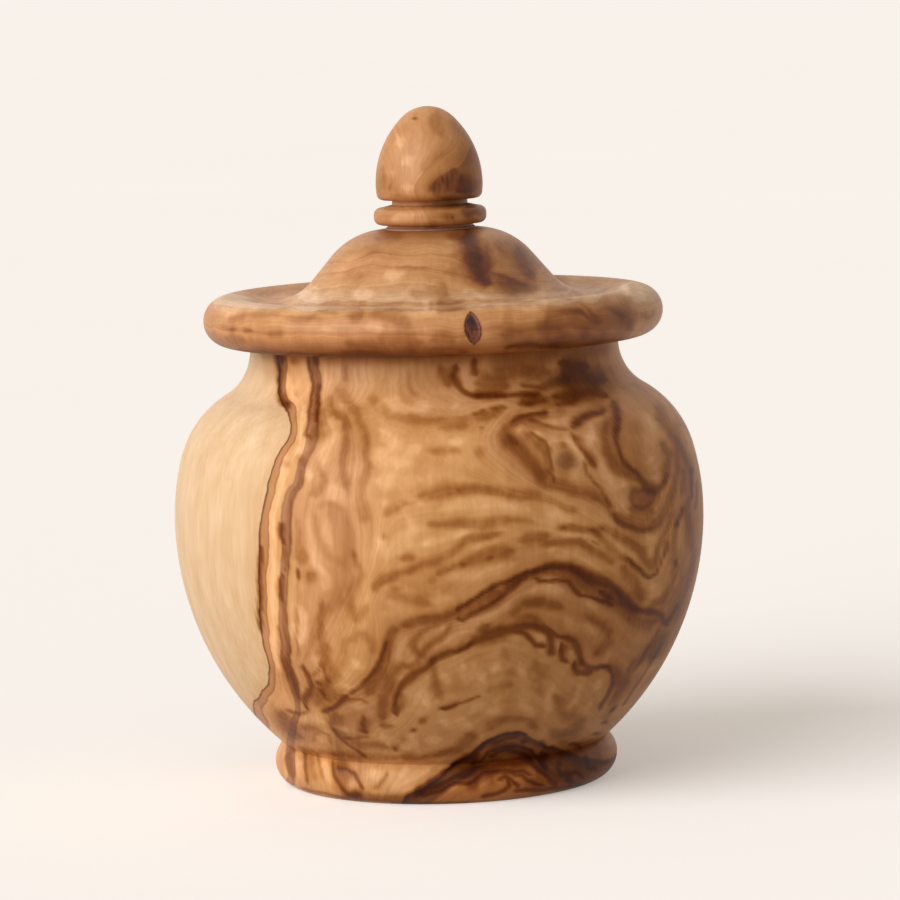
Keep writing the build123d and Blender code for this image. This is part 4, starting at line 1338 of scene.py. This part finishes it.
lid_veins_and_edge_shadow = [
    [0.5, (465, 232, 7), (469, 242, 9), (472, 252, 10), (475, 263, 10), (481, 274, 11), (491, 284, 10)],
    [0.5, (476, 244, 2), (478, 256, 2.4), (476, 266, 3), (478, 276, 4), (486, 284, 3)],
    [0.35, (484, 244, 1.2), (487, 258, 1.6), (488, 270, 2)],
    [0.4, (490, 272, 1), (502, 276, 1), (516, 281, 1), (528, 285, 0.8)],
    [0.4, (320, 304, 0.6), (340, 305, 0.5)],
    [0.35, (384, 304, 0.6), (396, 303, 0.7), (412, 304, 0.7), (424, 304, 0.5)],
    [0.45, (428, 303, 0.8), (434, 303, 0.8)],
    [0.4, (436, 304, 0.8), (450, 304, 0.9), (460, 302, 0.8), (466, 301, 0.5)],
    [0.35, (471, 300, 0.6), (482, 300, 0.7), (494, 300, 0.4)],
    [0.45, (230, 329, 1.2), (236, 329, 1.4)],
    [0.45, (242, 329, 1), (247, 331, 1.8), (252, 332, 0.8)],
    [0.4, (223, 334, 0.7), (226, 338, 1.1), (229, 342, 0.8)],
    [0.4, (360, 319, 0.8), (363, 316, 0.8)],
    [0.4, (357, 308, 1), (360, 308, 1)],
    [0.45, (572, 310, 1), (579, 311, 1.3), (584, 314, 1), (588, 319, 0.8)],
    [0.45, (578, 303, 0.7), (586, 307, 1), (591, 311, 1), (597, 316, 1), (600, 315, 0.8)],
    [0.5, (612, 312, 2), (620, 315, 1.6), (626, 318, 1)],
    [0.4, (552, 289, 0.8), (568, 290, 0.8)],
    [0.4, (568, 297, 0.5), (583, 296, 0.5)],
    [0.4, (629, 289, 1), (634, 288, 1)],
    [0.6, (505, 349, 1.4), (515, 346, 1.6), (530, 345, 2), (545, 346, 1.8), (560, 345, 1.4)],
    # Painted shadow: a dark line along the flange's lower edge, where the lid sits on the rim.
    [0.7, (240, 350, 1), (300, 354, 1.4), (360, 357, 1.6), (440, 356, 2), (520, 353, 2.2),
     (600, 344, 2)],
    [0.5, (470, 312, 1), (467, 318, 0.8)],
]

lid_bands_and_edge_shade = [
    [(466, 232, 7), (470, 243, 9), (473, 254, 9), (476, 265, 9), (480, 275, 9), (488, 284, 7)],
    [0.7, (486, 242, 3), (490, 256, 3), (492, 268, 3)],
    [0.7, (448, 236, 3), (460, 238, 5)],
    [0.6, (372, 236, 2.4), (384, 237, 2.4), (404, 237, 2)],
    [0.4, (362, 257, 1.2), (372, 253, 1.2), (384, 251, 1)],
    [0.5, (394, 269, 1.2), (410, 268, 1.4), (427, 269, 1.2)],
    [0.3, (345, 274, 3), (356, 276, 4), (364, 276, 2)],
    [0.3, (346, 283, 3), (346, 279, 2)],
    [0.5, (450, 254, 2), (460, 254, 1.4)],
    [0.47, (446, 274, 6), (460, 272, 6), (466, 280, 5)],
    [0.45, (438, 284, 3), (447, 287, 3)],
    [0.53, (410, 292, 4), (420, 294, 5), (436, 292, 3), (450, 294, 3)],
    [0.7, (494, 274, 3), (505, 279, 3.4), (518, 283, 3), (530, 286, 2)],
    [0.8, (500, 284, 5), (514, 288, 4), (530, 289, 3), (538, 288, 2)],
    [0.8, (517, 246, 3), (520, 256, 5), (525, 268, 6), (534, 279, 6)],
    [0.4, (494, 240, 3), (500, 250, 5)],
    [0.5, (276, 308, 1.4), (290, 308, 1.4)],
    [0.5, (228, 322, 2), (235, 317, 2), (246, 313, 1.6), (262, 314, 2), (282, 315, 1.4)],
    [0.5, (283, 317, 2), (297, 319, 2.4), (322, 318, 1.6)],
    [0.6, (218, 325, 1.8), (226, 327, 2), (238, 328, 2.4)],
    [0.47, (232, 331, 4), (236, 340, 5), (244, 342, 3)],
    [0.6, (266, 334, 2.4), (277, 334, 2.6), (286, 333, 1.2)],
    [0.6, (246, 332, 2), (256, 334, 1.6)],
    [0.75, (349, 316, 4), (356, 317, 5), (361, 313, 3), (364, 317, 2)],
    [0.58, (368, 314, 2), (380, 315, 4), (392, 318, 4), (402, 323, 6), (412, 327, 5)],
    [0.5, (384, 324, 1.4), (388, 330, 1.4)],
    [0.58, (378, 337, 4), (392, 337, 5), (408, 337, 5), (418, 335, 3)],
    [0.54, (345, 343, 4), (365, 346, 6), (385, 347, 7), (402, 346, 8), (420, 343, 6)],
    [0.67, (432, 340, 5), (446, 334, 5), (452, 342, 8)],
    # Painted shade on the flange's lower edge, which faces down towards the rim.
    [0.68, (340, 353, 2), (380, 354, 2.6), (420, 352, 3), (450, 351, 4), (468, 352, 3)],
    [0.7, (436, 306, 1.6), (452, 307, 1.6), (463, 304, 1)],
    [0.58, (500, 334, 3), (516, 334, 5), (530, 332, 6), (545, 328, 4), (560, 330, 4)],
    [0.7, (562, 336, 5), (566, 343, 5), (545, 342, 5), (525, 344, 5), (508, 347, 3)],
    [0.6, (534, 322, 2), (541, 324, 3), (550, 320, 2)],
    [0.7, (560, 311, 2.4), (572, 311, 2.4), (584, 314, 3)],
    [0.73, (588, 315, 4), (594, 320, 4), (602, 322, 4)],
    [0.8, (585, 324, 2), (586, 334, 2.6), (584, 342, 3)],
    [0.76, (606, 308, 3), (615, 311, 3), (622, 316, 5), (628, 323, 5), (632, 331, 5)],
    [0.5, (604, 330, 1.4), (604, 338, 1.6)],
    [0.7, (590, 343, 3), (606, 340, 3)],
    [0.73, (640, 314, 3), (650, 316, 2.4), (656, 310, 2)],
    [0.55, (630, 284, 3), (636, 286, 4)],
    [0.6, (627, 298, 2), (634, 300, 3)],
    [0.4, (600, 301, 3), (612, 304, 3)],
]

lid_pale_streaks_and_sheen = [
    [(365, 325, 5), (376, 326, 5), (384, 329, 3)],
    [(320, 330, 3), (332, 331, 3)],
    [(402, 312, 4), (424, 311, 5), (436, 314, 3)],
    [(385, 276, 6), (405, 272, 5)],
    [(352, 294, 5), (372, 294, 5)],
    [(386, 252, 1.6), (387, 256, 1.8)],
    [(386, 254, 1.2), (387, 257, 1.2)],
    [(425, 325, 1.2), (426, 331, 2)],
    [(470, 306, 2), (490, 305, 2)],
    [(520, 310, 3), (540, 310, 3)],
    [(537, 335, 3.4), (541, 337, 3)],
    [(553, 334, 4)],
    [(565, 318, 4)],
    [(571, 330, 4), (577, 335, 4)],
    [(596, 333, 4)],
    [(612, 332, 4)],
    [(496, 324, 2), (500, 322, 2)],
    [0.6, (504, 262, 6), (510, 268, 5)],
    [(460, 292, 1.4), (470, 290, 1.4), (482, 296, 1.2)],
    [(508, 288, 1), (510, 290, 1)],
    # Painted sheen: pale streaks over the flange top, to its left and behind, where the light grazes
    # it.
    [(560, 282, 4), (590, 284, 4), (615, 288, 3)],
    [(214, 302, 5), (240, 293, 6), (270, 289, 7), (300, 288, 7), (318, 290, 5)],
    [(262, 296, 6), (290, 294, 6), (312, 294, 5)],
    [0.8, (220, 310, 5), (250, 303, 6), (285, 300, 6), (320, 299, 5)],
    [(568, 284, 5), (600, 286, 5), (630, 291, 5), (645, 299, 4)],
    [0.8, (540, 292, 4), (580, 294, 5), (615, 298, 4)],
]

lid_shades = [
    [0.35, (500, 330, 22), (515, 330, 22)],
    [0.7, (545, 330, 24), (590, 325, 26), (632, 315, 22)],
    [0.3, (440, 345, 12), (470, 345, 12)],
    [0.8, (465, 232, 7), (470, 244, 9)],
    [0.95, (472, 250, 9), (476, 264, 9), (483, 278, 9)],
    [0.8, (492, 282, 6), (505, 285, 5), (518, 288, 5), (532, 289, 3)],
    [0.42, (500, 245, 12), (514, 258, 14), (532, 276, 12)],
    [0.5, (512, 245, 4), (524, 255, 4), (533, 267, 4), (539, 274, 3)],
    [0.12, (360, 250, 14), (385, 262, 20), (420, 266, 20), (448, 262, 16)],
    # Painted shade on the dome right under the knob's foot.
    [0.6, (382, 232, 4), (430, 233, 4), (470, 231, 5)],
    # Painted shadow along the flange's lower edge, where the lid sits on the rim.
    [0.5, (250, 352, 5), (330, 356, 5), (440, 358, 6), (540, 355, 6), (610, 344, 6)],
]

# The knot's own rings, from its rim inwards.
knot_rings = [
    (0.30, paint(206, 134, 66)),
    (0.42, paint(160, 92, 42)),
    (0.47, paint(70, 28, 18)),
    (0.52, paint(74, 32, 20)),
    (0.58, paint(132, 76, 52)),
    (0.68, paint(88, 40, 32)),
    (0.80, paint(54, 22, 22)),
    (0.95, paint(30, 13, 15)),
]

lid_wood = olive_wood(
    "lid_wood", lid_rings_and_sheen, first=0.0, last=9.0, gloss=0.36, knot_rings=knot_rings
)
lid = turned("lid_turned", lid_section, steps_round=420, wood=lid_wood)
figured(
    lid,
    reach=14,
    sway=0.8,
    lines=lid_lines,
    veins=lid_veins_and_edge_shadow,
    bands=lid_bands_and_edge_shade,
    gleams=lid_pale_streaks_and_sheen,
    shades=lid_shades,
)

# The knot is pointed above and below and darkest near its top, and its dead wood has shrunk a
# little below the edge round it. It shows only on the flange's edge, at the front.
knot_middle = (473, 329)
knot_half_width = 7.4
knot_half_height = 16.5
knot_lean = 0.22
knot_point = 0.15
knot_outline = 1.08
knot_shrink = 0.0003

places = vertex_places(lid)
radius = np.hypot(places[:, 0], places[:, 1])
middle = Grain(lid).laid([knot_middle])[0]
across = (places[:, 0] * 1000 - middle[0]) / (knot_half_width * Grain.pixel)
along = (places[:, 2] * 1000 - middle[1]) / (knot_half_height * Grain.pixel)
depth = knot_outline - along**2 - np.hypot(across + knot_lean * along, knot_point)
depth[(places[:, 1] > 0) | (radius < crest_radius)] = -1
darkness = np.clip(0.2 + 0.35 * along, 0.12, 0.42)
inside = np.clip(depth * 2, 0, 1) * darkness
marked(lid, "knot", 0.5 + np.where(depth < 0, depth * 0.5, inside))
sunk = np.clip(depth * 3, 0, 1) * knot_shrink
inwards = places / radius.clip(1e-9)[:, None] * (1, 1, 0)
lid.data.vertices.foreach_set("co", (places - inwards * sunk[:, None]).ravel())
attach(lid, "lid")
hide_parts("lid")

# Glue and dowel.
# A film of pale wood glue, squeezed out in a hair of a bead round the knob's foot, and the
# fluted beech dowel that it holds, shut inside the lid and the knob.


def finished(node, material):
    """Gives a solid of the frame, kept as it is, its only material."""
    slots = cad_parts[node].data.materials
    slots.clear()
    slots.append(material)


glue = Finish("knob_glue")
glue_mottle = glue.noise(glue.stretched((900, 900, 900)), detail=3.0)
glue_colour = glue.mix(paint(150, 104, 88), paint(206, 162, 140), glue_mottle)
glue_roughness = 0.55 + glue_mottle * 0.2
finished("knob_glue", glue.surface({"Base Color": glue_colour, "Roughness": glue_roughness}))

beech = Finish("knob_dowel")
beech_fibres = beech.noise(beech.stretched((2600, 2600, 160)), detail=3.0)
beech_rays = beech.noise(beech.stretched((900, 900, 300)), detail=1.0)
beech_colour = beech.mix(paint(206, 168, 122), paint(232, 202, 160), beech_fibres)
beech_flecks = ((beech_rays - 0.62) * 6).held() * 0.5
beech_colour = beech.mix(beech_colour, paint(170, 122, 84), beech_flecks)
beech_bump = beech.wire(
    "ShaderNodeBump", {}, {"Height": beech_fibres, "Strength": 0.3, "Distance": 0.0001}
)
beech_surface = beech.surface({
    "Base Color": beech_colour,
    "Roughness": 0.6 + beech_fibres * 0.2,
    "Normal": beech_bump,
})
finished("knob_dowel", beech_surface)

# Knob.
# A third turning: an egg on a narrow neck, over a thin collar with a short foot that is glued
# to the dome.
glue_film = 0.00015
knob_foot_height = 0.0007
collar_radius = 0.0100
collar_round = 0.0012
collar_flat = 0.0006
collar_rise = 0.0005
knob_neck_radius = 0.0067
knob_neck_height = 0.0009
egg_radius = 0.0095
egg_base_height = 0.0027
egg_base_arc = 0.0115
egg_base_round = 0.0011
egg_side_arc = 0.0165
egg_tip_arc = 0.0064
dowel_in_knob = 0.0085

knob_level = seat_level + glue_film
knob_hole_level = knob_level + dowel_in_knob + dowel_end_clearance
collar_level = knob_level + knob_foot_height
collar_top = collar_level + 2 * collar_round + collar_flat
neck_foot = collar_top + collar_rise
egg_level = neck_foot + knob_neck_height
base_turn = acos((egg_base_height - egg_base_round) / (egg_base_arc - egg_base_round))
base_radius = (
    egg_radius - egg_base_arc * (1 - sin(base_turn)) - egg_base_round * sin(base_turn)
)
side_turn = acos((egg_side_arc - egg_radius) / (egg_side_arc - egg_tip_arc))

knob_section = eased(
    (0, knob_hole_level),
    (dowel_hole_radius, knob_hole_level),
    (dowel_hole_radius, knob_level),
    (knob_foot_radius, knob_level),
    (knob_foot_radius, collar_level),
    (collar_radius - collar_round, collar_level),
    spacing=0.001,
)
knob_section += drawn(
    (collar_radius - collar_round, collar_level),
    OUT,
    (collar_round, UP),
    (collar_flat,),
    (collar_round, UP),
    spacing=0.00025,
)[1:]
knob_section += eased(
    (collar_radius - collar_round, collar_top),
    (knob_neck_radius, neck_foot),
    (knob_neck_radius, egg_level),
    (base_radius, egg_level),
    spacing=0.0004,
)[1:]
knob_section += drawn(
    (base_radius, egg_level),
    OUT,
    (egg_base_round, base_turn),
    (egg_base_arc, UP - base_turn),
    (egg_side_arc, side_turn),
    (egg_tip_arc, UP - side_turn),
    spacing=0.00025,
)[1:]

# The knob's figure, traced in the same way. Its order grows from left to right.
knob_lines = [
    (1.0, [(388, 150), (392, 165), (396, 180), (398, 195)]),
    (2.0, [(402, 125), (408, 140), (410, 160), (406, 178), (404, 196)]),
    (3.0, [(452, 145), (440, 155), (428, 168), (418, 180), (412, 195)]),
    (4.0, [(470, 150), (460, 168), (446, 172), (434, 180), (428, 195)]),
    (1.5, [(380, 215), (400, 214), (420, 214)]),
    (3.5, [(430, 214), (445, 213), (460, 215)]),
    (0.5, [(376, 170), (377, 185), (380, 196)]),
]

knob_rings = [
    (0.0, paint(187, 131, 82)),
    (0.9, paint(193, 138, 90)),
    (1.0, paint(190, 133, 84)),
    (1.2, paint(195, 140, 91)),
    (1.9, paint(198, 143, 94)),
    (2.0, paint(196, 139, 91)),
    (2.3, paint(200, 145, 96)),
    (2.9, paint(198, 140, 92)),
    (3.0, paint(180, 124, 75)),
    (3.3, paint(190, 133, 82)),
    (3.9, paint(182, 125, 75)),
    (4.0, paint(153, 101, 58)),
    (4.4, paint(167, 112, 68)),
    (5.0, paint(144, 91, 55)),
]

knob_veins = [
    [(410, 118, 0.5), (417, 118, 1.3)],
    [0.4, (411, 113, 0.4), (418, 113, 0.4)],
    [0.4, (430, 184, 0.5), (429, 194, 0.5)],
    [0.5, (434, 180, 0.6), (434, 194, 0.6)],
    [0.5, (439, 181, 0.5), (438, 195, 0.5)],
    [0.6, (442, 176, 0.9), (443, 185, 0.6)],
    [0.6, (447, 174, 1), (447, 189, 0.5)],
    [0.5, (452, 173, 1), (453, 182, 0.5)],
    [0.6, (462, 174, 1.6), (460, 184, 2)],
    [0.6, (456, 192, 1.6), (466, 192, 2), (474, 190, 2)],
    [0.3, (390, 185, 0.4), (390, 193, 0.4)],
    [0.3, (396, 187, 0.4), (396, 194, 0.4)],
    [0.6, (452, 213, 0.8), (452, 220, 0.8)],
    [0.5, (446, 214, 0.5), (446, 219, 0.5)],
]

knob_bands = [
    [0.3, (420, 172, 3), (426, 164, 3), (434, 157, 3), (446, 152, 3)],
    [0.37, (436, 111, 5), (436, 122, 6), (442, 134, 6)],
    [0.68, (429, 190, 4), (434, 186, 6), (442, 182, 7), (450, 182, 8), (444, 191, 6)],
    [(456, 190, 6), (464, 184, 8), (472, 186, 6)],
    [0.7, (448, 172, 3), (458, 172, 4)],
    [0.3, (412, 122, 1.2), (420, 123, 1)],
    [0.4, (376, 168, 0.8), (382, 169, 0.8)],
    [0.3, (383, 173, 2), (386, 183, 4), (388, 192, 4)],
    [0.67, (440, 216, 3), (446, 216, 3), (453, 216, 3)],
    [(462, 212, 6), (474, 210, 6)],
    [0.5, (390, 197, 1.2), (430, 198, 1.2)],
]

knob_gleams = [
    [(392, 170, 2.4), (392, 176, 2.4)],
    [(402, 164, 4), (414, 158, 5)],
    [(404, 187, 5), (414, 188, 4)],
    [(392, 218, 4), (412, 217, 4)],
    [(451, 139, 0.8)],
    [(402, 146, 5), (396, 136, 5)],
]

knob_shades = [
    [0.3, (466, 150, 10), (470, 165, 10)],
    [0.5, (466, 180, 12), (468, 192, 12)],
    [0.5, (468, 212, 10), (470, 216, 10)],
    # The last three are painted shade: in the groove under the egg, under the collar at the knob's
    # foot, and at the groove's right end.
    [0.9, (388, 201, 2), (430, 203, 2), (462, 201, 2)],
    [0.9, (384, 227, 3), (430, 229, 3), (470, 227, 3)],
    [0.9, (450, 202, 3), (470, 201, 4)],
]

knob_wood = olive_wood("knob_wood", knob_rings, first=0.0, last=5.0, gloss=0.3)
knob = turned("knob_turned", knob_section, steps_round=256, wood=knob_wood)
figured(
    knob,
    reach=5,
    sway=1.5,
    lines=knob_lines,
    veins=knob_veins,
    bands=knob_bands,
    gleams=knob_gleams,
    shades=knob_shades,
)
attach(knob, "lid")
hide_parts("knob")

# Floor and daylight.
# A pale sweep of paper under and behind the jar, soft light from a big window to its left, and
# the light of a white room from all round. Seen from the jar, the paper throws back less light
# than it shows to the camera, as on a small table in a room.
floor_side = 400  # out to the horizon
paper_glow_share = 0.10
paper_glow_strength = 3.45
room_light_strength = 0.32
window_strength = 2.78
window_spread = radians(60)
window_colour = (1.0, 0.985, 0.96)
window_from = Vector((-0.95, -0.75, 0.58))


def looked_at(finish):
    """1 where a thing is looked at, straight or in a gloss, and 0 where it only gives light."""
    path = finish.node("ShaderNodeLightPath", {}, {})
    looks = ("Camera", "Glossy", "Transmission")
    return sum(Wire(finish, path.outputs[f"Is {look} Ray"]) for look in looks).held()


paper = Finish("paper")
paper_tone = paper.noise(paper.stretched((3, 3, 3)), detail=1.0)
paper_colour = paper.mix(paint(249, 250, 252), paint(252, 253, 255), paper_tone)
paper_lit = paper.wire("ShaderNodeBsdfDiffuse", {}, {"Color": paper_colour})
paper_glow = paper.wire(
    "ShaderNodeEmission", {}, {"Color": paint(252, 248, 244), "Strength": paper_glow_strength}
)
paper_seen = paper.wire(
    "ShaderNodeMixShader", {}, {0: paper_glow_share, 1: paper_lit, 2: paper_glow}
)
paper_thrown = paper.wire("ShaderNodeBsdfDiffuse", {}, {"Color": paint(194, 180, 164)})
paper_mix = paper.node(
    "ShaderNodeMixShader", {}, {0: looked_at(paper), 1: paper_thrown, 2: paper_seen}
)
bpy.ops.mesh.primitive_plane_add(size=floor_side, location=(0, 0, 0))
floor = bpy.context.object
floor.name = "floor"
floor.data.materials.append(paper.ended(paper_mix))

room = Finish("room", kept_in=bpy.data.worlds)
room_light = room.wire(
    "ShaderNodeBackground", {}, {0: paint(255, 236, 212), 1: room_light_strength}
)
room_look = room.wire("ShaderNodeBackground", {}, {0: paint(250, 242, 233), 1: 1.0})
room_mix = room.node(
    "ShaderNodeMixShader", {}, {0: looked_at(room), 1: room_light, 2: room_look}
)
bpy.context.scene.world = room.ended(room_mix, kind="ShaderNodeOutputWorld")

window = bpy.data.objects.new("window", bpy.data.lights.new("window", "SUN"))
bpy.context.scene.collection.objects.link(window)
window.data.energy = window_strength
window.data.angle = window_spread
window.data.color = window_colour
window.rotation_euler = window_from.to_track_quat("Z", "Y").to_euler()

bpy.context.scene.view_settings.view_transform = "Standard"
